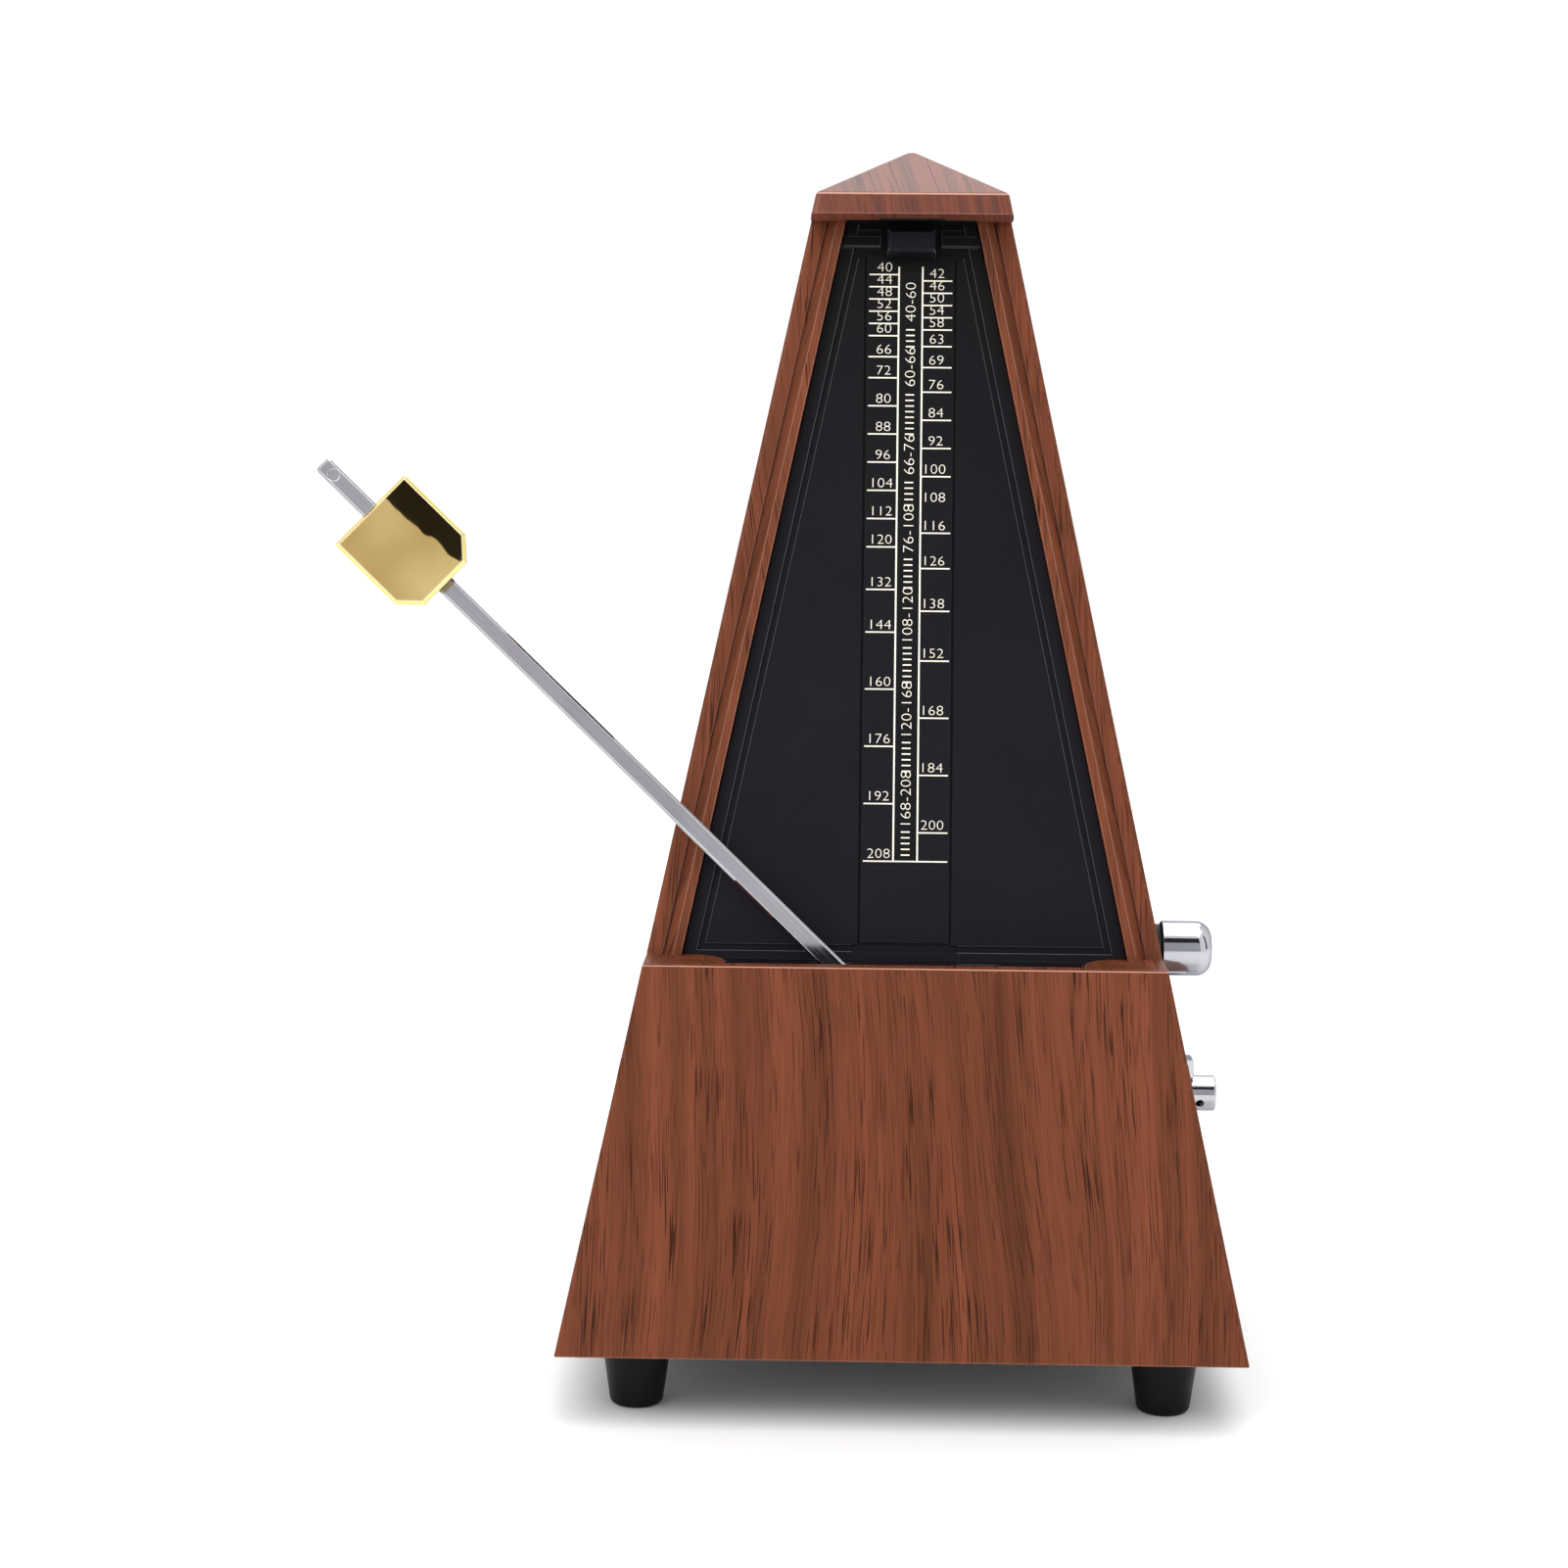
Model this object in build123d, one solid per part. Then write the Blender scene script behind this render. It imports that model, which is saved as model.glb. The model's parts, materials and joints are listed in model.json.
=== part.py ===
from build123d import *
from math import acos, asin, atan, atan2, cos, hypot, pi, radians, sin, sqrt, tan
import os

os.makedirs("parts", exist_ok=True)

# Case: a square pyramid whose four walls lean in by the same angle.
base_side = 115.0
top_side = 34.87
foot_height = 11.5
ledge_rise = 63.7
soffit_rise = 188.5
fascia_height = 4.4
roof_height = 7.9
apex_flat = 1.4
wall = 2.4
edge_round = 0.7
cap_round = 1.0
brow_round = 0.5
base_thickness = 2.5
post_radius = 4.5
post_height = 46.0
sound_slot_length = 30.0
sound_slot_height = 3.0
sound_slot_pitch = 8.0
sound_slot_count = 5
sound_slot_rise = 21.2
sound_hole_radius = 1.5
sound_hole_circle = 8.4
sound_hole_count = 8

# Cover seat and raised lip around the dial opening.
seat_setback = 10.8
seat_wall = 3.0
seat_width = 3.1
seat_groove_width = 0.45
seat_groove_depth = 0.4
lip_bevel = 1.45
lip_width = 1.45
lip_height = 2.2
ledge_cut_half = 30.3
ledge_corner_round = 7.0
soffit_rim = 4.2
soffit_notch_width = 11.4
soffit_notch_depth = 1.2

# Dial insert, scale strip and clip.
fit_gap = 0.15
insert_depth_below_lip = 2.0
flange_overlap = 2.3
flange_thickness = 1.8
border_width = 2.4
border_foot = 0.8
border_step = 0.6
panel_gap = 1.1
panel_rise = 0.4
strip_width = 15.0
strip_thickness = 0.5
strip_groove = 0.45
strip_foot = 2.3
strip_past_panels = 0.35
panel_end_gap = 1.75
rail_drop = 2.4
rail_height = 2.2
rail_rise = 0.9
rail_chamfer = 0.25
ridge_height = 1.0
ridge_rise = 0.5
clip_width = 8.4
clip_height = 3.95
clip_drop = 2.5
clip_side_gap = 1.1
clip_round = 0.6
clip_stem_lift = 1.2
clip_behind_rod = 0.7
tray_sheet = 1.5
tray_recess = 0.6
slot_half_length = 16.0
slot_width = 5.6

# Feet and their screws.
foot_inset = 12.9
foot_top_radius = 6.0
foot_bottom_radius = 4.4
foot_round = 1.1
foot_screw_radius = 1.45
foot_screw_head_radius = 2.5
foot_screw_head_height = 2.4
foot_bore_depth = 5.0
foot_screw_bite = 12.0
screw_clearance = 0.1

# Pendulum: built upright about its pivot, then swung to the left.
rest_angle = 46.3
pivot_drop = 11.0
rod_depth = 4.4
rod_width = 3.1
rod_thickness = 1.8
rod_edge_chamfer = 0.35
rod_length = 139.1
rod_tail = 21.0
tip_round = 0.75
tip_dimple_radius = 1.05
tip_dimple_inset = 2.9
tip_dimple_depth = 0.15
clamp_width = 8.0
clamp_length = 18.0
clamp_thickness = 4.0
rivet_radius = 0.7
rivet_head_radius = 1.2
rivet_head_height = 0.4
rivet_offset = 6.0
verge_radius = 1.2
verge_reach = 27.0
verge_tail = 5.5
pallet_collar_radius = 2.0
pallet_reach = 3.4
pallet_thickness = 0.9
pallet_axial = 1.2
pallet_axial_offset = 3.2
pallet_spread = 50.0
bob_width = 23.0
bob_top = 12.0
bob_bottom = 41.0
bob_thickness = 11.0
bob_front_gap = 0.7
bob_corner = 6.0
bob_edge = 0.8
bob_pin_radius = 0.8
bob_pin_drop = 17.0

# Sliding weight on the rod.
weight_width = 17.1
weight_height = 18.5
weight_below_tip = 12.1
weight_chamfer_across = 3.4
weight_chamfer_along = 3.7
weight_thickness = 7.3
weight_front_depth = 0.3
weight_face_bevel = 0.7
weight_draft = 9.0
weight_rod_gap = 0.12
weight_pocket_width = 13.0
weight_pocket_length = 14.5
weight_pocket_depth = 1.4
weight_pocket_front = 1.8
weight_spring_width = 3.0
weight_spring_thickness = 0.3

# Winding key and bell pull on the right side.
key_setback = 41.94
key_drop = 3.75
key_radius = 4.95
key_length = 9.2
key_standoff = 1.9
key_round = 2.8
key_socket_depth = 5.0
key_bush_radius = 3.0
key_flange_radius = 4.4
key_flange_out = 1.6
bell_bush_radius = 2.3
bell_flange_radius = 3.0
bell_flange_out = 0.9
bell_rise = 32.5
bell_back = 4.0
bell_knob_radius = 3.2
bell_knob_length = 6.0
bell_knob_round = 0.4
bell_knob_standoff = 1.1
bell_hole_radius = 0.75
bell_hole_angle = 25.0
bell_rod_radius = 1.5
bell_travel = 8.0
lug_width = 5.0
lug_height = 3.2
lug_out = 4.1
lug_round = 0.5

# Movement frame: two upright plates across the case.
plate_left_x = -20.0
plate_right_x = 24.0
plate_thickness = 1.5
plate_front_depth = 15.5
plate_back = 26.0
plate_top_rise = 14.0
plate_top_front = 18.0
plate_top_back = 13.5
plate_shoulder_drop = 3.6
plate_foot = 8.0
plate_foot_length = 41.6
pillar_radius = 2.5
pillar_screw_radius = 1.2
pillar_screw_head = 2.0
pillar_screw_bite = 5.0
pillar_low_rise = 12.0
pillar_low_setback = 14.0
pillar_floor_rise = 6.0
pillar_floor_back = 10.4
pillar_rear_back = 23.0
pillar_rear_drop = 7.2
pillar_top_front = 22.0
pillar_top_rise = 5.4
plate_screw_radius = 1.2
plate_screw_head = 2.2
plate_screw_spread = 15.6
bridge_thickness = 2.0
bridge_above = 6.0
bridge_below = 9.0
bridge_flange = 8.0
bridge_rivet_radius = 0.9
bridge_rivet_inset = 2.5
sleeve_radius = 3.0
sleeve_length = 6.0

# Wheel train: tooth counts set the ratios, modules set the sizes.
great_teeth = 60
second_pinion_teeth = 10
great_module = 0.6
second_teeth = 48
escape_pinion_teeth = 8
second_module = 0.55
pressure_angle = 25.0
wheel_addendum = 0.7
pinion_addendum = 0.8
dedendum = 1.15
tooth_backlash = 0.12
wheel_thickness = 1.5
great_thickness = 2.0
pinion_overhang = 0.8
arbor_radius = 1.2
pivot_radius = 0.75
pivot_gap = 0.05
end_shake = 0.3
wheel_hub_radius = 3.0
escape_teeth = 12
escape_radius = 9.0
escape_root = 6.3
escape_gap = 0.3

# Barrel, mainspring, ratchet and click.
winding_radius = 2.0
drum_radius = 15.5
drum_length = 11.0
drum_wall = 1.2
drum_cover = 0.8
spring_core_radius = 3.2
spring_inner_radius = 4.4
spring_pitch = 1.25
spring_thickness = 0.35
spring_half_turns = 15
ratchet_teeth = 12
ratchet_tip = 7.0
ratchet_root = 5.4
ratchet_thickness = 1.5
click_reach = 11.5
click_angle = 130.0
click_hub_radius = 2.0
click_neck = 1.6
click_rake = 0.65
click_over_tooth = 0.6
click_pin_radius = 0.8
click_pin_head = 1.5

# Bell, cams and hammer.
cam_lobes = (12, 8, 6, 4)
cam_tip = 5.4
cam_root = 4.3
cam_thickness = 1.0
first_cam_x = 5.5
hammer_x = 3.5
hammer_thickness = 1.0
hammer_hub_radius = 2.8
hammer_hub_length = 4.0
hammer_arm_width = 2.4
hammer_head_radius = 2.4
hammer_head_height = 5.0
hammer_head_round = 0.8
collar_radius = 2.3
collar_length = 0.8
gong_x = 8.0
gong_wall_gap = 7.0
gong_radius = 14.0
gong_height = 9.0
gong_thickness = 1.2
gong_rise = 28.5
gong_post_radius = 2.5
gong_screw_radius = 1.4
gong_screw_head = 2.4
strike_offset = 6.0
strike_gap = 0.3

# Heights and shared positions that follow from the sizes above.
half_base = base_side / 2
slope = (base_side - top_side) / 2 / soffit_rise
lean = atan(slope)
wall_flat = wall / cos(lean)
z_bottom = foot_height
z_ledge = z_bottom + ledge_rise
z_soffit = z_bottom + soffit_rise
z_eaves = z_soffit + fascia_height
z_apex = z_eaves + roof_height
floor_top = z_bottom + base_thickness
seat_depth = seat_setback * cos(lean)
lip_depth = seat_depth - lip_height
opening_inset = seat_width + lip_bevel + lip_width
insert_depth = lip_depth + insert_depth_below_lip
flange_depth = (seat_setback + seat_wall) * cos(lean)
recess_depth = insert_depth + border_step
foot_offset = half_base - foot_inset
weight_top = rod_length - weight_below_tip


def half_at(z):
    """Half the outside width of the case at height z."""
    return half_base - slope * (z - z_bottom)


def on_dial(rise, depth):
    """Y and Z of a point at a rise up the leaning front face and a depth behind it."""
    y = -half_base + rise * sin(lean) + depth * cos(lean)
    z = z_bottom + rise * cos(lean) - depth * sin(lean)
    return y, z


def rise_at(z, depth):
    """Rise up the front face at which the given depth reaches height z."""
    return (z - z_bottom + depth * sin(lean)) / cos(lean)


face_plane = Plane(origin=(0, -half_base, z_bottom), x_dir=(1, 0, 0), z_dir=(0, -cos(lean), sin(lean)))
pivot_rise = rise_at(z_ledge, 0) - pivot_drop
pivot_y, pivot_z = on_dial(pivot_rise, rod_depth)
swing = Plane(origin=(0, pivot_y, pivot_z), x_dir=(1, 0, 0), z_dir=face_plane.z_dir).location
swing = swing * Rot(0, 0, rest_angle)

key_y = pivot_y + key_setback
key_point = (key_y, z_ledge - key_drop)
bell_point = (key_y + bell_back, z_bottom + bell_rise)
great_pitch = great_module * great_teeth / 2
second_pinion_pitch = great_module * second_pinion_teeth / 2
second_pitch = second_module * second_teeth / 2
escape_pinion_pitch = second_module * escape_pinion_teeth / 2
escape_drop = escape_radius + pallet_reach + escape_gap
escape_point = on_dial(pivot_rise - escape_drop, rod_depth + verge_reach)


def third_corner(first, second, to_first, to_second):
    """The lower rear point at two given distances from two points."""
    dy, dz = second[0] - first[0], second[1] - first[1]
    span = hypot(dy, dz)
    along = (to_first**2 - to_second**2 + span**2) / (2 * span)
    across = sqrt(to_first**2 - along**2)
    y = first[0] + (along * dy - across * dz) / span
    z = first[1] + (along * dz + across * dy) / span
    return y, z


second_point = third_corner(
    key_point,
    escape_point,
    great_pitch + second_pinion_pitch,
    second_pitch + escape_pinion_pitch,
)

drum_end_x = plate_right_x - end_shake - drum_cover
drum_start_x = drum_end_x - drum_length
great_x = drum_start_x - great_thickness
second_x = plate_left_x + 3 * plate_thickness
ratchet_x = plate_right_x + plate_thickness + end_shake
key_x = half_at(key_point[1]) + key_standoff
bell_knob_x = half_at(bell_point[1]) + bell_knob_standoff
gong_top = z_bottom + gong_rise
gong_y = half_at(gong_top) - wall_flat - gong_wall_gap - gong_radius


def tapered_block(z_low, z_high, side=0.0, front=0.0, back=0.0):
    """Block inside the leaning case walls, each side moved in by its own inset."""
    sections = []
    for z in (z_low, z_high):
        half = half_at(z)
        depth = 2 * half - front - back
        centre = (front - back) / 2
        sections.append(Pos(0, centre, z) * Rectangle(2 * (half - side), depth))
    return loft(sections)


def soften(block, radius):
    """Round the four leaning corner edges of a tapered block."""
    corners = block.edges().filter_by(lambda e: abs((e % 0.5).Z) > 0.5)
    return fillet(corners, radius)


def dial_sheet(depth, inset, low, high):
    """Flat sheet parallel to the front face that narrows with the case as the lip does."""
    corners = []
    for rise in (low, high):
        half = half_at(on_dial(rise, lip_depth)[1]) - inset
        corners.append((half, rise))
    (low_half, low), (high_half, high) = corners
    outline = Polygon((-low_half, low), (low_half, low), (high_half, high), (-high_half, high), align=None)
    return face_plane.offset(-depth) * outline


def dial_block(depth, thickness, x_half, low, high):
    """Rectangular block on the dial, from its front depth backwards."""
    outline = Pos(0, (low + high) / 2) * Rectangle(2 * x_half, high - low)
    return extrude(face_plane.offset(-depth) * outline, amount=-thickness)


def slab(z_low, z_high):
    """Wide level slab used to trim pieces between two heights."""
    side = 2 * base_side
    return Pos(0, 0, (z_low + z_high) / 2) * Box(side, side, z_high - z_low)


def across(point, radius, x_from, x_to):
    """Round bar along X through a point given as Y and Z."""
    bar = Cylinder(radius, x_to - x_from, align=(Align.CENTER, Align.CENTER, Align.MIN))
    return Pos(x_from, point[0], point[1]) * Rot(0, 90, 0) * bar


def side_plane(point, x):
    """Plane facing +X whose local axes are Y and Z."""
    return Plane(origin=(x, point[0], point[1]), x_dir=(0, 1, 0), z_dir=(1, 0, 0))


def upright(x, y, radius, z_from, z_to):
    """Upright round bar."""
    bar = Cylinder(radius, z_to - z_from, align=(Align.CENTER, Align.CENTER, Align.MIN))
    return Pos(x, y, z_from) * bar


def along_verge(radius, near, far):
    """Round bar on the swing axis, between two distances behind the rod centre."""
    bar = Cylinder(radius, far - near, align=(Align.CENTER, Align.CENTER, Align.MAX))
    return Pos(0, 0, -near) * bar


def bar_between(start, end, width, x_from, thickness):
    """Flat round-ended bar between two points, in a plane facing +X."""
    dy, dz = end[0] - start[0], end[1] - start[1]
    length = hypot(dy, dz)
    plane = Plane(origin=(x_from, start[0], start[1]), x_dir=(0, dy, dz), z_dir=(1, 0, 0))
    return extrude(plane * Pos(length / 2, 0) * SlotCenterToCenter(length, width), amount=thickness)


def polar(radius, angle):
    return radius * cos(angle), radius * sin(angle)


def involute(angle):
    return tan(angle) - angle


def gear_face(teeth, module, addendum, tooth_at):
    """Involute gear outline with one tooth centred on the angle tooth_at."""
    pitch = module * teeth / 2
    press = radians(pressure_angle)
    base = pitch * cos(press)
    tip = pitch + addendum * module
    root = pitch - dedendum * module
    half_tooth = pi / (2 * teeth) - tooth_backlash / (4 * pitch)
    start = max(base, root)
    radii = [start, (start + pitch) / 2, pitch, tip]
    flank = []
    for radius in radii:
        spread = half_tooth + involute(press) - involute(acos(min(1.0, base / radius)))
        flank.append((radius, spread))
    if root < base:
        flank.insert(0, (root, flank[0][1]))
    points = []
    for tooth in range(teeth):
        middle = tooth_at + 2 * pi * tooth / teeth
        points += [polar(radius, middle - spread) for radius, spread in flank]
        points += [polar(radius, middle + spread) for radius, spread in reversed(flank)]
    return Polygon(*points, align=None)


def saw_face(teeth, tip, root, step_at):
    """Saw-tooth outline: a radial step down at each tooth, then a ramp up to the next."""
    points = []
    for tooth in range(teeth):
        angle = step_at + 2 * pi * tooth / teeth
        points.append(polar(tip, angle))
        points.append(polar(root, angle))
    return Polygon(*points, align=None)


def mesh_angle(first, second):
    """Direction from one arbor to the next, seen along X."""
    return atan2(second[1] - first[1], second[0] - first[0])


def foot_spots():
    """Names and centres of the four feet."""
    spots = {}
    for y_name, y_sign in (("front", -1), ("rear", 1)):
        for x_name, x_sign in (("left", -1), ("right", 1)):
            spots[f"{y_name}_{x_name}"] = (x_sign * foot_offset, y_sign * foot_offset)
    return spots


def ledge_opening(gap):
    """Plan of the opening in the ledge, moved in by a gap."""
    half = half_at(z_ledge)
    front = -(half - wall_flat) + gap
    seat = -(half - seat_setback)
    plan = Pos(0, (front + seat) / 2) * Rectangle(2 * (ledge_cut_half - gap), seat - front)
    for side in (-1, 1):
        centre_x = side * (ledge_cut_half + ledge_corner_round)
        middle_x = side * (ledge_cut_half + ledge_corner_round / 2)
        flare = Pos(middle_x, seat - ledge_corner_round / 2) * Rectangle(ledge_corner_round, ledge_corner_round)
        plan += flare - Pos(centre_x, seat - ledge_corner_round) * Circle(ledge_corner_round + gap)
    return plan


def dial_opening(gap, front_depth, back_depth):
    """Opening inside the lip, from below the ledge to above the soffit."""
    low = rise_at(z_ledge - 2 * wall, front_depth)
    high = rise_at(z_soffit + wall, back_depth)
    return extrude(dial_sheet(front_depth, opening_inset + gap, low, high), amount=front_depth - back_depth)


def ceiling_plan(gap, back):
    """Plan of the tray's ceiling under the cap, with a tongue in front for the rod."""
    half = half_at(z_soffit)
    front = -(half - soffit_rim) + gap
    seat = -(half - back)
    plan = Pos(0, (front + seat) / 2) * Rectangle(2 * (half - opening_inset - gap), seat - front)
    tongue = Rectangle(soffit_notch_width - 2 * gap, 2 * soffit_notch_depth)
    return plan + Pos(0, front) * tongue


def make_case_shell():
    lower = soften(tapered_block(z_bottom, z_ledge), edge_round)
    brow = lower.edges().group_by(Axis.Z)[-1].sort_by(Axis.Y)[0]
    lower = fillet(brow, brow_round)
    upper = soften(tapered_block(z_ledge, z_soffit, front=seat_setback), edge_round)
    body = lower + upper
    body -= tapered_block(z_bottom - wall, z_ledge - wall, wall_flat, wall_flat, wall_flat)
    body -= tapered_block(z_ledge - 2 * wall, z_soffit + wall, wall_flat, seat_setback + seat_wall, wall_flat)

    low = rise_at(z_ledge, 0) - wall
    high = rise_at(z_soffit, seat_depth) + wall
    lip = loft(
        [
            dial_sheet(seat_depth, seat_width, low, high),
            dial_sheet(lip_depth, seat_width + lip_bevel, low, high),
        ]
    )
    body += lip & slab(z_ledge, z_soffit)
    groove = dial_sheet(seat_depth, seat_width - seat_groove_width, low, high)
    groove -= dial_sheet(seat_depth, seat_width, low, high)
    body -= extrude(groove, amount=-seat_groove_depth) & slab(z_ledge, z_soffit)
    body -= dial_opening(0, lip_depth - wall, flange_depth + wall) & slab(z_ledge, z_soffit + wall)
    body -= dial_opening(0, insert_depth - fit_gap, flange_depth + wall)
    body -= Pos(0, 0, z_ledge - 2 * wall) * extrude(ledge_opening(0), amount=3 * wall)

    envelope = tapered_block(floor_top, z_ledge - wall)
    for x, y in foot_spots().values():
        body += upright(x, y, post_radius, floor_top, floor_top + post_height) & envelope
    for x, y in foot_spots().values():
        pilot = foot_screw_radius + screw_clearance
        body -= upright(x, y, pilot, floor_top - wall, floor_top + foot_screw_bite + wall)

    for point, radius in ((key_point, key_bush_radius), (bell_point, bell_bush_radius)):
        half = half_at(point[1])
        body -= across(point, radius, half - 3 * wall, half + 3 * wall)
    for number in range(sound_slot_count):
        z = z_bottom + sound_slot_rise + number * sound_slot_pitch
        slot = Rot(90, 0, 0) * SlotOverall(sound_slot_length, sound_slot_height)
        body -= Pos(0, half_at(z) + 2 * wall, z) * extrude(slot, amount=5 * wall, dir=(0, -1, 0))
    return body


def make_top_cap():
    fascia = tapered_block(z_soffit, z_eaves)
    eaves_side = 2 * half_at(z_eaves)
    eaves = Pos(0, 0, z_eaves) * Rectangle(eaves_side, eaves_side)
    peak = Pos(0, 0, z_apex) * Rectangle(apex_flat, apex_flat)
    cap = fascia + loft([eaves, peak])
    outer = cap.edges().filter_by(lambda e: z_soffit + fit_gap < e.center().Z < z_apex - fit_gap)
    cap = fillet(outer, cap_round)

    spigot_front = seat_setback + seat_wall + flange_thickness + 2 * fit_gap
    side = wall_flat + fit_gap
    cap += tapered_block(z_soffit - 2 * wall, z_soffit, side, spigot_front, side)
    cap -= tapered_block(z_soffit - 3 * wall, z_eaves, side + wall, spigot_front + wall, side + wall)

    cap -= Pos(0, 0, z_soffit) * extrude(ceiling_plan(0, spigot_front), amount=tray_sheet + fit_gap)
    front = -half_at(z_soffit)
    rim = Polygon(
        (front - wall, z_soffit),
        (front + soffit_rim, z_soffit),
        (front - wall, z_soffit + (soffit_rim + wall) * tan(lean)),
        align=None,
    )
    return cap - extrude(side_plane((0, 0), 0) * rim, amount=base_side, both=True)


rail_low = rise_at(z_soffit, insert_depth) - rail_drop - rail_height


def make_dial_insert():
    low = rise_at(z_ledge - 2 * wall, insert_depth)
    high = rise_at(z_soffit + wall, flange_depth)
    back = flange_depth + flange_thickness
    plug = dial_opening(fit_gap, insert_depth, back)
    flange = dial_sheet(flange_depth, opening_inset - flange_overlap, low, high)
    flange = extrude(flange, amount=-flange_thickness)
    body = plug + flange & slab(z_ledge - tray_recess - tray_sheet, z_soffit)

    sunk_low = rise_at(z_ledge, insert_depth) + border_foot
    sunk_high = rise_at(z_soffit, insert_depth) + wall
    sunk_inset = opening_inset + border_width
    body -= extrude(dial_sheet(insert_depth, sunk_inset, sunk_low, sunk_high), amount=-border_step)
    panel_low = sunk_low + panel_gap
    panel_high = rail_low - panel_end_gap
    panels = extrude(dial_sheet(recess_depth, sunk_inset + panel_gap, panel_low, panel_high), amount=panel_rise)
    channel_half = strip_width / 2 + strip_groove
    panels -= dial_block(recess_depth - wall, 2 * wall, channel_half, panel_low - wall, panel_high + wall)
    body += panels

    rail_high = rail_low + rail_height
    rail_inset = opening_inset + fit_gap
    rail = extrude(dial_sheet(recess_depth, rail_inset, rail_low, rail_high), amount=rail_rise)
    rail = chamfer(rail.faces().sort_by(Axis.Y)[0].edges().filter_by(Axis.X), rail_chamfer)
    ridge = dial_sheet(recess_depth, rail_inset, rail_high, rail_high + ridge_height)
    rail += extrude(ridge, amount=ridge_rise)
    clip_bay = clip_width / 2 + clip_side_gap
    body += rail - dial_block(recess_depth - wall, 2 * wall, clip_bay, rail_low - wall, rail_high + wall)

    floor = Pos(0, 0, z_ledge - tray_recess - tray_sheet) * extrude(ledge_opening(fit_gap), amount=tray_sheet)
    link_y = -(half_at(z_ledge) - seat_setback)
    link = Pos(0, link_y, z_ledge - tray_recess - tray_sheet / 2)
    floor += link * Box(2 * ledge_cut_half, 2 * wall, tray_sheet)
    slot_y = on_dial(rise_at(z_ledge, rod_depth), rod_depth)[0]
    floor -= Pos(0, slot_y, z_ledge) * Box(2 * slot_half_length, slot_width, 4 * wall)
    body += floor

    ceiling = ceiling_plan(fit_gap, seat_setback + seat_wall + flange_thickness)
    body += Pos(0, 0, z_soffit) * extrude(ceiling, amount=tray_sheet)
    return body


strip_low = rise_at(z_ledge, insert_depth) + strip_foot
strip_high = rail_low - panel_end_gap + strip_past_panels
clip_high = rise_at(z_soffit, recess_depth) - clip_drop
clip_depth = rod_depth + rod_thickness / 2 + clip_behind_rod


def make_scale_strip():
    return dial_block(recess_depth - strip_thickness, strip_thickness, strip_width / 2, strip_low, strip_high)


def make_pendulum_clip():
    low = clip_high - clip_height
    block = dial_block(clip_depth, recess_depth - rail_rise - clip_depth, clip_width / 2, low, clip_high)
    block = fillet(block.faces().sort_by(Axis.Y)[0].edges(), clip_round)
    stem_depth = clip_depth + clip_round
    stem_half = clip_width / 2 - clip_round
    stem_low = low + clip_stem_lift
    stem = dial_block(stem_depth, recess_depth - stem_depth, stem_half, stem_low, clip_high - clip_round)
    return block + stem


def make_base_plate():
    side = wall_flat + fit_gap
    plate = tapered_block(z_bottom, floor_top, side, side, side)
    for x, y in foot_spots().values():
        plate -= upright(x, y, foot_screw_radius + screw_clearance, z_bottom - wall, floor_top + wall)
    for x, y in plate_screw_spots():
        plate -= upright(x, y, plate_screw_radius, z_bottom - wall, floor_top + wall)
    for turn in range(sound_hole_count):
        x, y = polar(sound_hole_circle, 2 * pi * turn / sound_hole_count)
        plate -= upright(gong_x + x, gong_y + y, sound_hole_radius, z_bottom - wall, floor_top + wall)
    return plate


def make_foot(x, y):
    body = Pos(x, y, 0) * Cone(
        foot_bottom_radius, foot_top_radius, foot_height, align=(Align.CENTER, Align.CENTER, Align.MIN)
    )
    body = fillet(body.edges().group_by(Axis.Z)[0], foot_round)
    body -= upright(x, y, foot_screw_head_radius + screw_clearance, 0, foot_bore_depth)
    return body - upright(x, y, foot_screw_radius + screw_clearance, 0, foot_height)


def make_base_screws():
    screws = []
    for x, y in foot_spots().values():
        head = upright(x, y, foot_screw_head_radius, foot_bore_depth - foot_screw_head_height, foot_bore_depth)
        shank = upright(x, y, foot_screw_radius, foot_bore_depth, floor_top + foot_screw_bite)
        screws.append(head + shank)
    return Part() + screws


def make_bush(point, shaft_radius, tube_radius, flange_radius, flange_out):
    half = half_at(point[1])
    flange = across(point, flange_radius, half - wall, half + flange_out)
    flange -= tapered_block(z_bottom, z_soffit)
    tube = across(point, tube_radius, half - 2 * wall, half + flange_out)
    return flange + tube - across(point, shaft_radius + pivot_gap, half - 3 * wall, half + 3 * wall)


def make_bell_lug():
    z = bell_point[1] + bell_knob_radius + lug_height / 2 + fit_gap
    plane = side_plane((bell_point[0], z), half_at(z) - wall)
    block = extrude(plane * Rectangle(lug_width, lug_height), amount=lug_out + wall)
    block = fillet(block.faces().sort_by(Axis.X)[-1].edges(), lug_round)
    return block - tapered_block(z_bottom, z_soffit)


def plate_screw_spots():
    """Screws through the turned-out feet of both movement plates."""
    spots = []
    for x, sign in ((plate_left_x - plate_thickness, -1), (plate_right_x + plate_thickness, 1)):
        for y in (key_y - plate_screw_spread, key_y + plate_screw_spread):
            spots.append((x + sign * plate_foot / 2, y))
    return spots


def pillar_spots():
    """Four pillars, clear of the wheels."""
    low_z = floor_top + pillar_low_rise
    front_y = on_dial(rise_at(low_z, plate_front_depth), plate_front_depth)[0]
    return (
        (front_y + pillar_low_setback, low_z),
        (key_y + pillar_floor_back, floor_top + pillar_floor_rise),
        (key_y + pillar_rear_back, key_point[1] - pillar_rear_drop),
        (key_y - pillar_top_front, key_point[1] + pillar_top_rise),
    )


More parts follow.
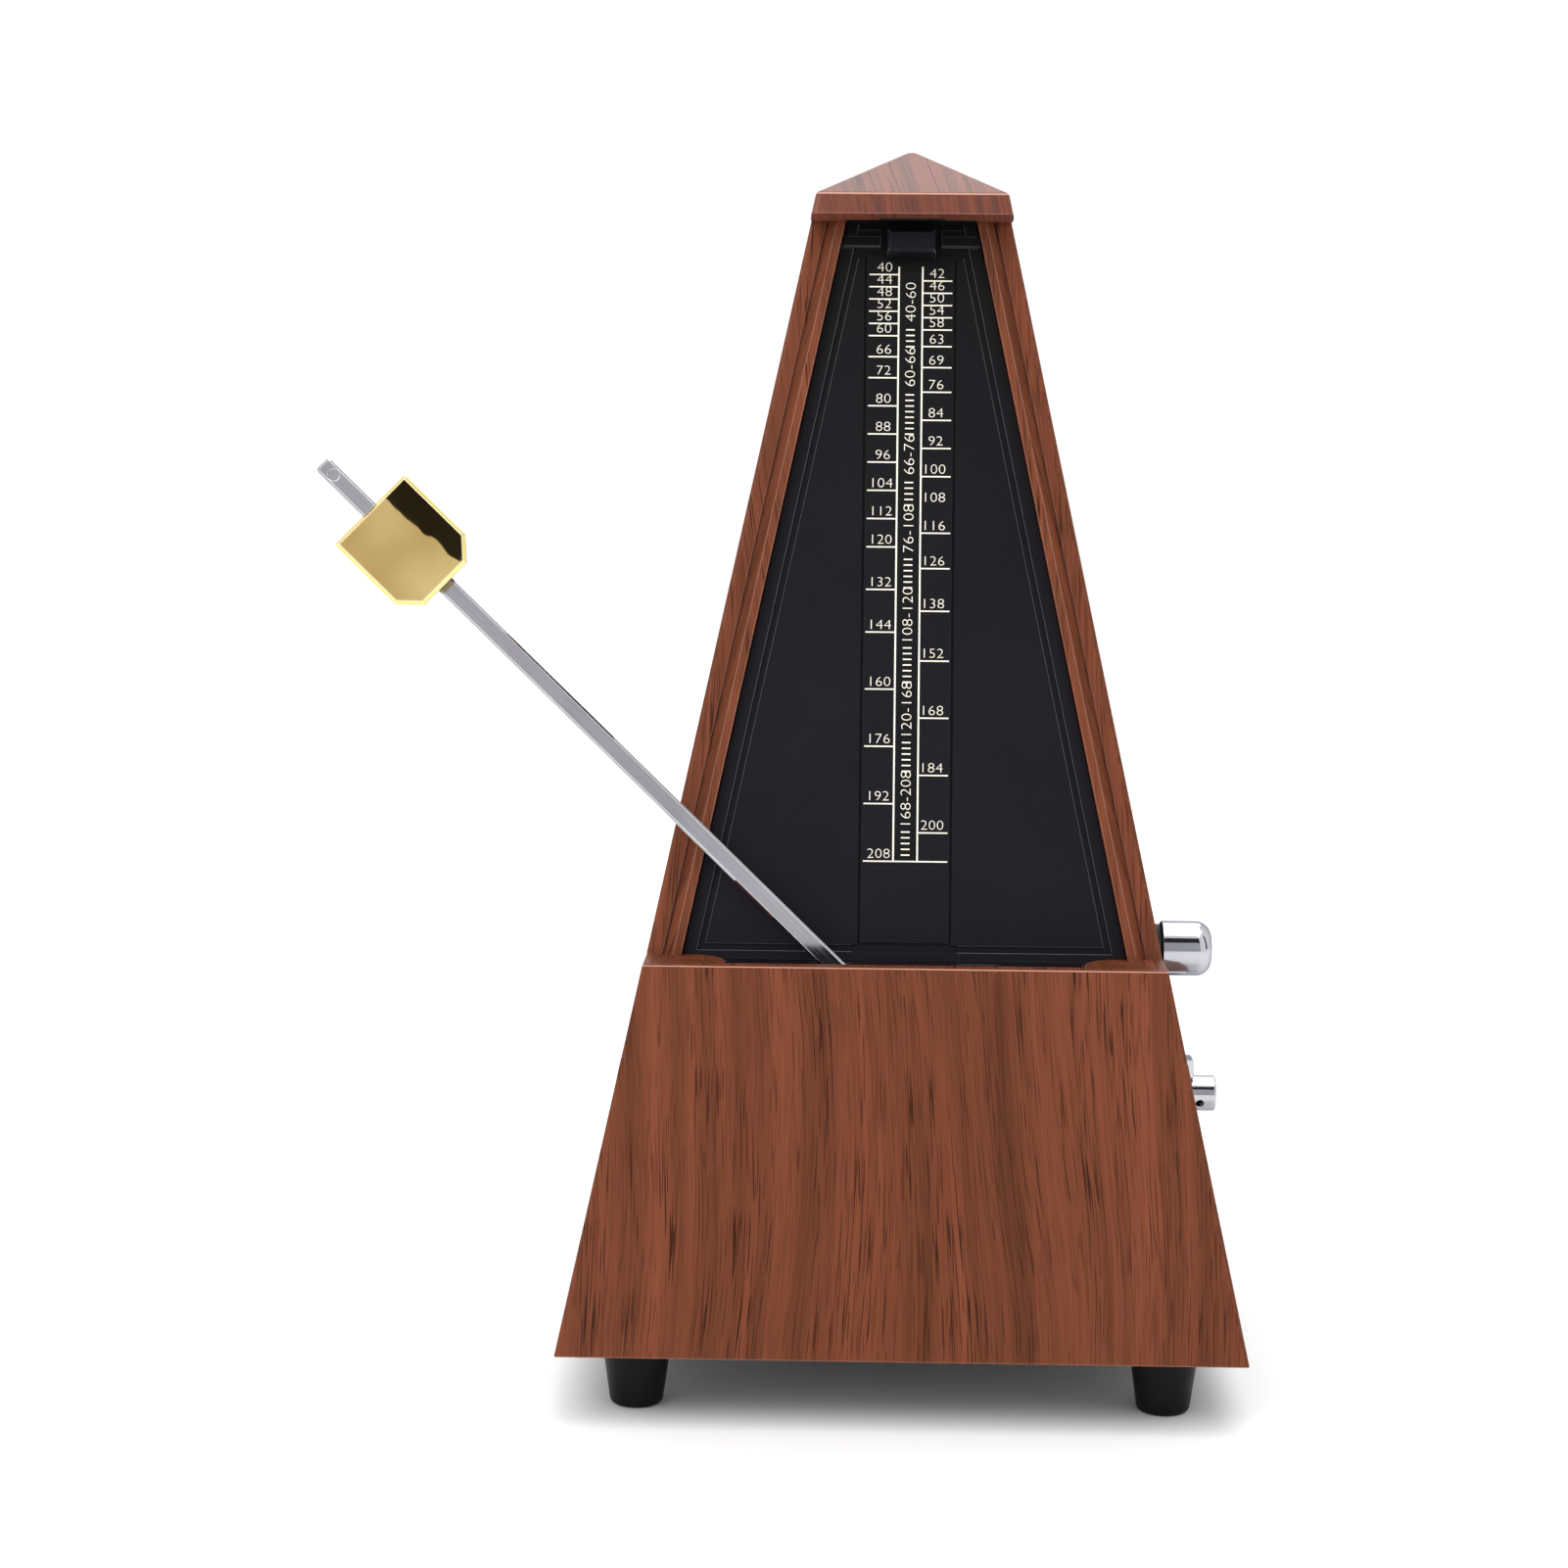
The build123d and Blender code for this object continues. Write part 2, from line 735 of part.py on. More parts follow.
def make_plate(inner_x, sign):
    nose = pivot_rise + bridge_above
    low_front = on_dial(rise_at(floor_top, plate_front_depth), plate_front_depth)
    high_front = on_dial(nose, plate_front_depth)
    top = z_ledge + plate_top_rise
    outline = Polygon(
        low_front,
        (key_y + plate_back, floor_top),
        (key_y + plate_back, key_point[1] - plate_shoulder_drop),
        (key_y + plate_top_back, top),
        (key_y - plate_top_front, top),
        high_front,
        align=None,
    )
    plate = extrude(side_plane((0, 0), inner_x) * outline, amount=sign * plate_thickness)
    foot_x = inner_x + sign * (plate_thickness + plate_foot) / 2
    foot = Box(plate_thickness + plate_foot, plate_foot_length, plate_thickness)
    plate += Pos(foot_x, key_y, floor_top + plate_thickness / 2) * foot

    near, far = inner_x - 2 * plate_thickness, inner_x + 2 * plate_thickness
    holes = [
        (key_point, winding_radius + pivot_gap),
        (second_point, pivot_radius + pivot_gap),
        (escape_point, pivot_radius + pivot_gap),
        (bell_point, bell_rod_radius + pivot_gap),
    ]
    holes += [(spot, pillar_screw_radius) for spot in pillar_spots()]
    holes += [(spot, bridge_rivet_radius) for spot in bridge_rivet_spots()]
    if sign > 0:
        holes.append((click_point, click_pin_radius))
    for point, radius in holes:
        plate -= across(point, radius, near, far)
    for x, y in plate_screw_spots():
        plate -= upright(x, y, plate_screw_radius, floor_top - wall, floor_top + wall)
    return plate


def make_pillars():
    pillars = []
    for spot in pillar_spots():
        bar = across(spot, pillar_radius, plate_left_x, plate_right_x)
        bar -= across(spot, pillar_screw_radius, plate_left_x, plate_left_x + pillar_screw_bite)
        bar -= across(spot, pillar_screw_radius, plate_right_x - pillar_screw_bite, plate_right_x)
        pillars.append(bar)
    return Part() + pillars


def make_pillar_screws():
    screws = []
    for spot in pillar_spots():
        left = plate_left_x - plate_thickness
        right = plate_right_x + plate_thickness
        screw = across(spot, pillar_screw_head, left - plate_thickness, left)
        screws.append(screw + across(spot, pillar_screw_radius, left, plate_left_x + pillar_screw_bite))
        screw = across(spot, pillar_screw_head, right, right + plate_thickness)
        screws.append(screw + across(spot, pillar_screw_radius, plate_right_x - pillar_screw_bite, right))
    return Part() + screws


def make_plate_screws():
    screws = []
    seat = floor_top + plate_thickness
    for x, y in plate_screw_spots():
        head = upright(x, y, plate_screw_head, seat, seat + plate_thickness)
        screws.append(head + upright(x, y, plate_screw_radius, z_bottom, seat))
    return Part() + screws


def bridge_rivet_spots():
    """Two rivets in each turned-back side of the verge bridge."""
    depth = plate_front_depth + bridge_thickness + bridge_flange / 2
    high = pivot_rise + bridge_above - bridge_rivet_inset
    low = pivot_rise - bridge_below + bridge_rivet_inset
    return [on_dial(high, depth), on_dial(low, depth)]


def make_verge_bridge():
    low, high = pivot_rise - bridge_below, pivot_rise + bridge_above
    middle_x = (plate_left_x + plate_right_x) / 2
    half = (plate_right_x - plate_left_x) / 2
    middle = Pos(middle_x, 0, 0)
    body = middle * dial_block(plate_front_depth, bridge_thickness + bridge_flange, half, low, high)
    inner = half - plate_thickness
    body -= middle * dial_block(plate_front_depth + bridge_thickness, base_side, inner, 0, 2 * high)
    near = plate_front_depth - rod_depth
    body += swing * along_verge(sleeve_radius, near, near + bridge_thickness + sleeve_length)
    body -= swing * along_verge(verge_radius + pivot_gap, 0, verge_reach)
    for spot in bridge_rivet_spots():
        body -= across(spot, bridge_rivet_radius, plate_left_x - wall, plate_right_x + wall)
    return body


def make_bridge_rivets():
    rivets = []
    for spot in bridge_rivet_spots():
        for inner_x, sign in ((plate_left_x, 1), (plate_right_x, -1)):
            ends = sorted((inner_x - sign * plate_thickness, inner_x + sign * plate_thickness))
            rivets.append(across(spot, bridge_rivet_radius, ends[0], ends[1]))
    return Part() + rivets


def make_winding_key():
    profile = across(key_point, key_radius, key_x, key_x + key_length)
    outer = profile.edges().group_by(Axis.X)[-1]
    profile = fillet(outer, key_round)
    inner = profile.edges().group_by(Axis.X)[0]
    profile = chamfer(inner, fit_gap * 2)
    return profile - across(key_point, winding_radius, key_x - wall, key_x + key_socket_depth)


def make_winding_arbor():
    body = across(key_point, winding_radius, plate_left_x - plate_thickness, key_x + key_socket_depth)
    return body + across(key_point, spring_core_radius, drum_start_x + drum_wall, drum_end_x - end_shake)


def make_ratchet_wheel():
    face = saw_face(ratchet_teeth, ratchet_tip, ratchet_root, pi / 2) - Circle(winding_radius)
    return extrude(side_plane(key_point, ratchet_x) * face, amount=ratchet_thickness)


click_point = (
    key_point[0] + click_reach * cos(radians(click_angle)),
    key_point[1] + click_reach * sin(radians(click_angle)),
)


def make_click():
    hub_y, hub_z = polar(click_reach, radians(click_angle))
    beak = Polygon(
        (-click_rake, ratchet_root + fit_gap),
        (-fit_gap, ratchet_tip + click_over_tooth),
        (hub_y, hub_z + click_hub_radius),
        (hub_y, hub_z - click_neck),
        align=None,
    )
    face = beak + Pos(hub_y, hub_z) * Circle(click_hub_radius)
    face -= Pos(hub_y, hub_z) * Circle(click_pin_radius + pivot_gap)
    return extrude(side_plane(key_point, ratchet_x) * face, amount=ratchet_thickness)


def make_click_pin():
    plate_outer = plate_right_x + plate_thickness
    head_x = ratchet_x + ratchet_thickness + pivot_gap * 2
    pin = across(click_point, click_pin_radius, plate_outer - plate_thickness, head_x)
    return pin + across(click_point, click_pin_head, head_x, head_x + plate_thickness / 2)


def make_great_wheel():
    angle = mesh_angle(key_point, second_point)
    face = gear_face(great_teeth, great_module, wheel_addendum, angle)
    body = extrude(side_plane(key_point, great_x) * face, amount=great_thickness)
    body += across(key_point, drum_radius, drum_start_x, drum_end_x)
    body -= across(key_point, drum_radius - drum_wall, drum_start_x, drum_end_x)
    return body - across(key_point, winding_radius + pivot_gap, great_x - wall, drum_end_x)


def make_barrel_cover():
    disc = across(key_point, drum_radius, drum_end_x, drum_end_x + drum_cover)
    return disc - across(key_point, winding_radius + pivot_gap, drum_end_x - wall, drum_end_x + wall)


def spiral_edges(offset):
    """Half-circle arcs that grow by half a pitch each, about two alternating centres."""
    edges = []
    for step in range(spring_half_turns):
        radius = spring_inner_radius + offset + step * spring_pitch / 2
        centre = 0 if step % 2 == 0 else spring_pitch / 2
        start = 0 if step % 2 == 0 else 180
        edges.append(CenterArc((centre, 0), radius, start, 180))
    return edges


def make_mainspring():
    inner = spiral_edges(0)
    outer = spiral_edges(spring_thickness)
    ends = [Line(inner[0] @ 0, outer[0] @ 0), Line(inner[-1] @ 1, outer[-1] @ 1)]
    strip = make_face(inner + outer + ends)
    start_x = drum_start_x + end_shake * 2
    return extrude(side_plane(key_point, start_x) * strip, amount=drum_length - 4 * end_shake)


def make_arbor(point, pinion_face, pinion_x, wheel_width):
    """Arbor with pivots in both plates and leaves cut for the wheel that drives it."""
    body = across(point, arbor_radius, plate_left_x + end_shake, plate_right_x - end_shake)
    body += across(point, pivot_radius, plate_left_x - plate_thickness, plate_right_x + plate_thickness)
    length = wheel_width + 2 * pinion_overhang
    body += extrude(side_plane(point, pinion_x - pinion_overhang) * pinion_face, amount=length)
    return body


def make_second_pinion():
    gap_at = mesh_angle(second_point, key_point)
    face = gear_face(second_pinion_teeth, great_module, pinion_addendum, gap_at + pi / second_pinion_teeth)
    return make_arbor(second_point, face, great_x, great_thickness)


def make_second_wheel():
    face = gear_face(second_teeth, second_module, wheel_addendum, mesh_angle(second_point, escape_point))
    for turn in range(4):
        face -= Rot(0, 0, 90 * turn) * Pos(second_pitch * 0.58, 0) * Circle(second_pitch * 0.25)
    body = extrude(side_plane(second_point, second_x) * face, amount=wheel_thickness)
    body += across(second_point, wheel_hub_radius, second_x + wheel_thickness, second_x + 2 * wheel_thickness)
    return body - across(second_point, arbor_radius, second_x - wall, second_x + 3 * wheel_thickness)


def make_escape_pinion():
    gap_at = mesh_angle(escape_point, second_point)
    face = gear_face(escape_pinion_teeth, second_module, pinion_addendum, gap_at + pi / escape_pinion_teeth)
    return make_arbor(escape_point, face, second_x, wheel_thickness)


def make_escape_wheel():
    face = saw_face(escape_teeth, escape_radius, escape_root, pi / 2)
    for turn in range(4):
        face -= Rot(0, 0, 90 * turn + 45) * Pos(escape_root * 0.66, 0) * Circle(escape_root * 0.22)
    body = extrude(side_plane(escape_point, -wheel_thickness / 2) * face, amount=wheel_thickness)
    body += across(escape_point, wheel_hub_radius * 0.8, wheel_thickness / 2, 2 * wheel_thickness)
    return body - across(escape_point, arbor_radius, -wheel_thickness, 3 * wheel_thickness)


cam_pitch = bell_travel / len(cam_lobes)


def make_bell_cams():
    last_x = first_cam_x + (len(cam_lobes) - 1) * cam_pitch
    body = across(escape_point, arbor_radius * 2, first_cam_x, last_x)
    for number, lobes in enumerate(cam_lobes):
        x = first_cam_x + number * cam_pitch - cam_thickness / 2
        cam = saw_face(lobes, cam_tip, cam_root, 0)
        body += extrude(side_plane(escape_point, x) * cam, amount=cam_thickness)
    return body - across(escape_point, arbor_radius, first_cam_x - wall, last_x + wall)


def make_pendulum_rod():
    outline = Pos(0, (rod_length - rod_tail) / 2) * Rectangle(rod_width, rod_length + rod_tail)
    outline = fillet(outline.vertices().group_by(Axis.Y)[-1], tip_round)
    rod = extrude(outline, amount=rod_thickness / 2, both=True)
    rod = chamfer(rod.faces().sort_by(Axis.Z)[-1].edges(), rod_edge_chamfer)
    dimple = Cylinder(tip_dimple_radius, 2 * tip_dimple_depth)
    rod -= Pos(0, rod_length - tip_dimple_inset, rod_thickness / 2) * dimple
    for y in (-rivet_offset, rivet_offset):
        rod -= Pos(0, y, 0) * Cylinder(rivet_radius, 2 * rod_thickness)
    rod -= Pos(0, -bob_pin_drop, 0) * Cylinder(bob_pin_radius, 2 * rod_thickness)
    return swing * rod


clamp_back = rod_thickness / 2 + clamp_thickness


def make_rod_clamp():
    block = Box(clamp_width, clamp_length, clamp_thickness)
    block = Pos(0, 0, -(rod_thickness + clamp_thickness) / 2) * block
    block = fillet(block.edges().filter_by(Axis.Z), clamp_width / 4)
    for y in (-rivet_offset, rivet_offset):
        block -= Pos(0, y, 0) * Cylinder(rivet_radius, 4 * clamp_back)
    return swing * (block - along_verge(verge_radius, clamp_back / 2, 2 * clamp_back))


def make_rod_rivets():
    rivets = []
    for y in (-rivet_offset, rivet_offset):
        shank = Pos(0, y, 0) * along_verge(rivet_radius, -rod_thickness / 2, clamp_back)
        head = Pos(0, y, 0) * along_verge(
            rivet_head_radius, -rod_thickness / 2 - rivet_head_height, -rod_thickness / 2
        )
        rivets.append(swing * (shank + head))
    return Part() + rivets


def make_verge_arbor():
    return swing * along_verge(verge_radius, clamp_back / 2, verge_reach + verge_tail)


def make_pallets():
    ends = pallet_axial_offset + pallet_axial
    body = along_verge(pallet_collar_radius, verge_reach - ends, verge_reach + ends)
    for sign in (-1, 1):
        flag = Pos(0, -pallet_reach / 2, 0) * Box(pallet_thickness, pallet_reach, pallet_axial)
        body += Pos(0, 0, -verge_reach + sign * pallet_axial_offset) * Rot(0, 0, sign * pallet_spread) * flag
    return swing * (body - along_verge(verge_radius, 0, verge_reach + 2 * ends))


bob_front = rod_depth - wall - bob_front_gap


def make_counterweight():
    height = bob_bottom - bob_top
    outline = Pos(0, -(bob_top + bob_bottom) / 2) * RectangleRounded(bob_width, height, bob_corner)
    block = extrude(Pos(0, 0, bob_front - bob_thickness) * outline, amount=bob_thickness)
    block = chamfer(block.faces().sort_by(Axis.Z)[0].edges(), bob_edge)
    slot = Box(rod_width + 2 * pivot_gap, 2 * (rod_tail - bob_top + pivot_gap), rod_thickness + 2 * pivot_gap)
    block -= Pos(0, -bob_top, 0) * slot
    return swing * (block - Pos(0, -bob_pin_drop, 0) * Cylinder(bob_pin_radius, 4 * bob_thickness))


def make_bob_pin():
    return swing * Pos(0, -bob_pin_drop, 0) * along_verge(bob_pin_radius, -bob_front, bob_thickness - bob_front)


weight_front = rod_depth - weight_front_depth
weight_middle = weight_top - weight_height / 2


def make_sliding_weight():
    half, top, bottom = weight_width / 2, weight_top, weight_top - weight_height
    outline = Polygon(
        (-half, top),
        (-half, bottom + weight_chamfer_along),
        (-half + weight_chamfer_across, bottom),
        (half - weight_chamfer_across, bottom),
        (half, bottom + weight_chamfer_along),
        (half, top),
        align=None,
    )
    body = extrude(Pos(0, 0, weight_front) * outline, amount=-weight_thickness, taper=weight_draft)
    body = chamfer(body.faces().sort_by(Axis.Z)[-1].edges(), weight_face_bevel)
    body = chamfer(body.faces().sort_by(Axis.Z)[0].edges(), weight_face_bevel / 3)
    gap = weight_rod_gap
    body -= Pos(0, weight_middle, 0) * Box(rod_width + 2 * gap, 2 * weight_height, rod_thickness + 2 * gap)
    pocket_z = (weight_pocket_front - weight_pocket_depth) / 2
    pocket_thickness = rod_thickness + weight_pocket_front + weight_pocket_depth
    body -= Pos(0, weight_middle, pocket_z) * Box(weight_pocket_width, weight_pocket_length, pocket_thickness)
    return swing * body


def make_weight_spring():
    half = weight_pocket_length / 2 - fit_gap
    near = -rod_thickness / 2 - pivot_gap
    far = -rod_thickness / 2 - weight_pocket_depth
    inner_far = far + weight_spring_thickness
    outer = ThreePointArc((-half, far), (0, near - weight_spring_thickness), (half, far))
    inner = ThreePointArc((-half, inner_far), (0, near), (half, inner_far))
    ends = [Line(outer @ 0, inner @ 0), Line(outer @ 1, inner @ 1)]
    leaf = make_face([outer, inner] + ends)
    plane = Plane(origin=(-weight_spring_width / 2, weight_middle, 0), x_dir=(0, 1, 0), z_dir=(1, 0, 0))
    return swing * extrude(plane * leaf, amount=weight_spring_width)


def make_bell_knob():
    knob = across(bell_point, bell_knob_radius, bell_knob_x, bell_knob_x + bell_knob_length)
    knob = fillet(knob.edges().filter_by(GeomType.CIRCLE), bell_knob_round)
    hole = Cylinder(bell_hole_radius, 2 * bell_knob_radius, align=(Align.CENTER, Align.CENTER, Align.MAX))
    place = Pos(bell_knob_x + bell_knob_length / 2, bell_point[0], bell_point[1])
    knob -= place * Rot(bell_hole_angle - 90, 0, 0) * hole
    return knob - across(bell_point, bell_rod_radius, bell_knob_x - wall, bell_knob_x + bell_knob_length / 2)


hub_start = hammer_x - hammer_hub_length / 2
hub_end = hammer_x + hammer_hub_length / 2


def make_bell_rod():
    start = hub_start - collar_length - pivot_gap
    body = across(bell_point, bell_rod_radius, start, bell_knob_x + bell_knob_length / 2)
    body += across(bell_point, collar_radius, start, start + collar_length)
    return body + across(bell_point, collar_radius, hub_end + pivot_gap, hub_end + pivot_gap + collar_length)


strike_point = (gong_y - strike_offset, gong_top + strike_gap + hammer_head_height)


def make_hammer_lever():
    reach = hypot(escape_point[0] - bell_point[0], escape_point[1] - bell_point[1])
    clear = cam_tip + escape_gap + hammer_arm_width / 2
    angle = mesh_angle(bell_point, escape_point) + asin(clear / reach)
    length = sqrt(reach**2 - clear**2)
    tip = (bell_point[0] + length * cos(angle), bell_point[1] + length * sin(angle))
    x_from = hammer_x - hammer_thickness / 2
    body = across(bell_point, hammer_hub_radius, hub_start, hub_end)
    body += bar_between(bell_point, tip, hammer_arm_width, x_from, hammer_thickness)
    body += bar_between(bell_point, strike_point, hammer_arm_width, x_from, hammer_thickness)
    return body - across(bell_point, bell_rod_radius + pivot_gap, hub_start - wall, hub_end + wall)


def make_hammer_head():
    y, top = strike_point
    head = upright(hammer_x, y, hammer_head_radius, top - hammer_head_height, top)
    head = fillet(head.edges().group_by(Axis.Z)[0], hammer_head_round)
    return head - make_hammer_lever()


gong_screw_foot = gong_top - gong_thickness - pillar_screw_bite


def make_gong():
    outer_radius = (gong_radius**2 + gong_height**2) / (2 * gong_height)
    centre = Pos(gong_x, gong_y, gong_top - outer_radius)
    cup = centre * Sphere(outer_radius) - centre * Sphere(outer_radius - gong_thickness)
    cup &= slab(gong_top - gong_height, gong_top)
    return cup - upright(gong_x, gong_y, gong_screw_radius, gong_top - gong_height, gong_top + wall)


def make_gong_post():
    outer_radius = (gong_radius**2 + gong_height**2) / (2 * gong_height)
    inner_radius = outer_radius - gong_thickness
    seat = gong_top - outer_radius + sqrt(inner_radius**2 - gong_post_radius**2)
    post = upright(gong_x, gong_y, gong_post_radius, floor_top, seat)
    post += upright(gong_x, gong_y, 2 * gong_post_radius, floor_top, floor_top + plate_thickness)
    return post - upright(gong_x, gong_y, gong_screw_radius, gong_screw_foot, gong_top)


def make_gong_screw():
    screw = upright(gong_x, gong_y, gong_screw_radius, gong_screw_foot, gong_top)
    return screw + upright(gong_x, gong_y, gong_screw_head, gong_top, gong_top + gong_thickness)


pieces = {
    "case_shell": make_case_shell(),
    "top_cap": make_top_cap(),
    "dial_insert": make_dial_insert(),
    "scale_strip": make_scale_strip(),
    "pendulum_clip": make_pendulum_clip(),
    "base_plate": make_base_plate(),
    "base_screws": make_base_screws(),
    "key_bush": make_bush(key_point, winding_radius, key_bush_radius, key_flange_radius, key_flange_out),
    "bell_bush": make_bush(bell_point, bell_rod_radius, bell_bush_radius, bell_flange_radius, bell_flange_out),
    "bell_lug": make_bell_lug(),
    "plate_left": make_plate(plate_left_x, -1),
    "plate_right": make_plate(plate_right_x, 1),
    "plate_pillars": make_pillars(),
    "pillar_screws": make_pillar_screws(),
    "plate_screws": make_plate_screws(),
    "verge_bridge": make_verge_bridge(),
    "bridge_rivets": make_bridge_rivets(),
    "winding_key": make_winding_key(),
    "winding_arbor": make_winding_arbor(),
    "ratchet_wheel": make_ratchet_wheel(),
    "click": make_click(),
    "click_pin": make_click_pin(),
    "great_wheel": make_great_wheel(),
    "barrel_cover": make_barrel_cover(),
    "mainspring": make_mainspring(),
    "second_wheel": make_second_wheel(),
    "second_pinion": make_second_pinion(),
    "escape_wheel": make_escape_wheel(),
    "escape_pinion": make_escape_pinion(),
    "bell_cams": make_bell_cams(),
    "pendulum_rod": make_pendulum_rod(),
    "rod_clamp": make_rod_clamp(),
    "rod_rivets": make_rod_rivets(),
    "verge_arbor": make_verge_arbor(),
    "pallets": make_pallets(),
    "counterweight": make_counterweight(),
    "bob_pin": make_bob_pin(),
    "sliding_weight": make_sliding_weight(),
    "weight_spring": make_weight_spring(),
    "bell_knob": make_bell_knob(),
    "bell_rod": make_bell_rod(),
    "hammer_lever": make_hammer_lever(),
    "hammer_head": make_hammer_head(),
    "gong": make_gong(),
    "gong_post": make_gong_post(),
    "gong_screw": make_gong_screw(),
}
for spot_name, (foot_x, foot_y) in foot_spots().items():
    pieces[f"foot_{spot_name}"] = make_foot(foot_x, foot_y)

for node, shape in pieces.items():
    export_step(shape, f"parts/{node}.step")
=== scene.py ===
import json
import math

import bmesh
import bpy
from mathutils import Matrix, Vector


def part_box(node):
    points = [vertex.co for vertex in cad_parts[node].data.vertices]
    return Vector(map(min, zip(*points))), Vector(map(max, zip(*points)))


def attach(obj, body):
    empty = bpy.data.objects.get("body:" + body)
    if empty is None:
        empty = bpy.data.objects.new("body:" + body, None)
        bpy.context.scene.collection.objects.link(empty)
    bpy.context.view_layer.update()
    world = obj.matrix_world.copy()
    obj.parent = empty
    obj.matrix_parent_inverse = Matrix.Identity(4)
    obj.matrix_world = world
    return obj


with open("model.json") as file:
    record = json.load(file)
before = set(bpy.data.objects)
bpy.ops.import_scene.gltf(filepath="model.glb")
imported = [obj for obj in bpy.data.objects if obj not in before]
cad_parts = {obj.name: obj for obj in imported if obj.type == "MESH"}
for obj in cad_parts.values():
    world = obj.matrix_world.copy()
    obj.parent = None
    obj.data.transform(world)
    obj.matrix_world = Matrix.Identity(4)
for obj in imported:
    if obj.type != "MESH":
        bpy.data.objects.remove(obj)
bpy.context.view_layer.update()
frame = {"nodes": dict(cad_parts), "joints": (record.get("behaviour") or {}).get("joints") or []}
nodes = frame["nodes"]
rod_axis = next(joint["axis"] for joint in frame["joints"] if joint["name"] == "weight_slide")

MM = 0.001

# Camera that took the photograph, in the frame of the part.
IMAGE_SIZE = 1601
FOCAL_PIXELS = 3232.8
SENSOR_MM = 36.0
CLIP_START = 0.01
CAMERA_PLACE = Vector((-8.85, -565.37, 169.98)) * MM
CAMERA_PITCH = math.radians(7.0035)
CAMERA_YAW = math.radians(-1.277)
CAMERA_ROLL = math.radians(0.5077)

# The leaning front face: rises run up it and depths run into the case.
case_low, case_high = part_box("case_shell")
cap_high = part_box("top_cap")[1]
LEAN = math.atan((case_high.x - cap_high.x) / (case_high.z - case_low.z))
RISE_AXIS = Vector((0, math.sin(LEAN), math.cos(LEAN)))
DEPTH_AXIS = Vector((0, math.cos(LEAN), -math.sin(LEAN)))
FACE_FOOT = Vector((0, -case_high.x, case_low.z))

# Half width of the leaning sides where they would meet the floor, and the corners kept free of the
# painted edge highlight.
SIDE_WALL_REACH = case_high.x + case_low.z * math.tan(LEAN)
PLAIN_CORNER = 0.5 * MM

# Painted highlight on the upward-facing round along the ledge: the height it stays below, and the upward
# turns where it starts and ends.
LEDGE_CREST = 85.0 * MM
CREST_START = (0.4, 0.52)
CREST_END = (0.76, 0.64)

# Wood print: cells per metre across and along the grain with octaves, and the span of noise in use.
WOOD_LAYERS = {
    "broad": ((85.0, 4.0, 2.0), (0.36, 0.64)),
    "bands": ((420.0, 9.0, 3.0), (0.34, 0.66)),
    "fibres": ((3000.0, 60.0, 2.0), (0.3, 0.7)),
    "clusters": ((330.0, 22.0, 2.0), (0.42, 0.6)),
    "pores": ((3600.0, 84.0, 1.0), (0.545, 0.615)),
    "streaks": ((330.0, 6.0, 1.0), (0.52, 0.62)),
}
BROAD_SHARE, BAND_SHARE, FIBRE_SHARE = 0.35, 0.45, 0.2
FIBRE_RELIEF = 0.2
SPARSE_PORES = 0.25
PORE_DARKNESS = 0.9

# Long lines of the wood print: contours of a slow noise, and how near the noise comes to its mean there.
CONTOUR_GRAIN = (300.0, 8.0, 2.0)
CONTOUR_SPAN = (0.002, 0.012)
CONTOUR_DARKNESS = 0.4

# Sway of the grain, and the numbers that give each face a print of its own.
SWAY_GRAIN = (14.0, 9.0, 1.0)
SWAY = 18 * MM
FACE_SEED_X, FACE_SEED_Y = 3.1, 5.7

# Painted highlight on the wood's sharp edges and upward rounds, and painted shade in its nooks.
PAINTED_WOOD_HIGHLIGHT = "#dba894"
WOOD_EDGE_HIGHLIGHT, WOOD_CREST_HIGHLIGHT, WOOD_NOOK_SHADE = 0.45, 0.75, 0.12

# Black plastic: grain and clouds in cells per metre, how the clouds vary it, the deep black of its
# painted shade in nooks and of its darkening up the dial, and the grey of its painted edge highlight.
PLASTIC_GRAIN = 2600.0
FOOT_GRAIN = 3200.0
PLASTIC_CLOUDS = 45.0
CLOUD_GAIN, CLOUD_LIFT = 1.25, 0.001
PLASTIC_SPREAD = 0.12
DEEP_BLACK = "#050506"
PAINTED_BLACK_HIGHLIGHT = "#7c7c84"

# Heights between which the black dial darkens, and by how much.
FADE_LOW = 110.0 * MM
FADE_HIGH = 190.0 * MM
DIAL_FADE = 0.8

# Half width of the dial's plain middle, round the scale strip.
STRIP_CLEAR = 9.0 * MM

# Metals: drawing marks, clouds, waves and bloom in cells per metre, and how much these vary the metal.
MARKS_ACROSS, MARKS_ALONG = 5200.0, 55.0
METAL_CLOUDS = 60.0
POLISH_WAVES = 300.0
POLISH_BLOOM = 75.0
MARK_SHARE, CLOUD_SHARE = 0.4, 0.6
DRAWN_SPREAD, POLISH_SPREAD = 1.6, 1.5

# Span that holds most values of a noise, and their mean.
NOISE_SPAN = (0.3, 0.7)
NOISE_MEAN = 0.5

# Samples for rounding edges and for finding nooks, and the reach of a nook in edge radii.
BEVEL_SAMPLES = 4
NOOK_SAMPLES = 6
NOOK_RADII = 4

# Turns of the faces that get a second look: the key's inner end, black as painted shade, and the front
# rim of the weight, in lighter brass as a painted highlight.
KEY_END_TURN = -0.3
RIM_TURN_LOW, RIM_TURN_HIGH = 0.5, 0.8

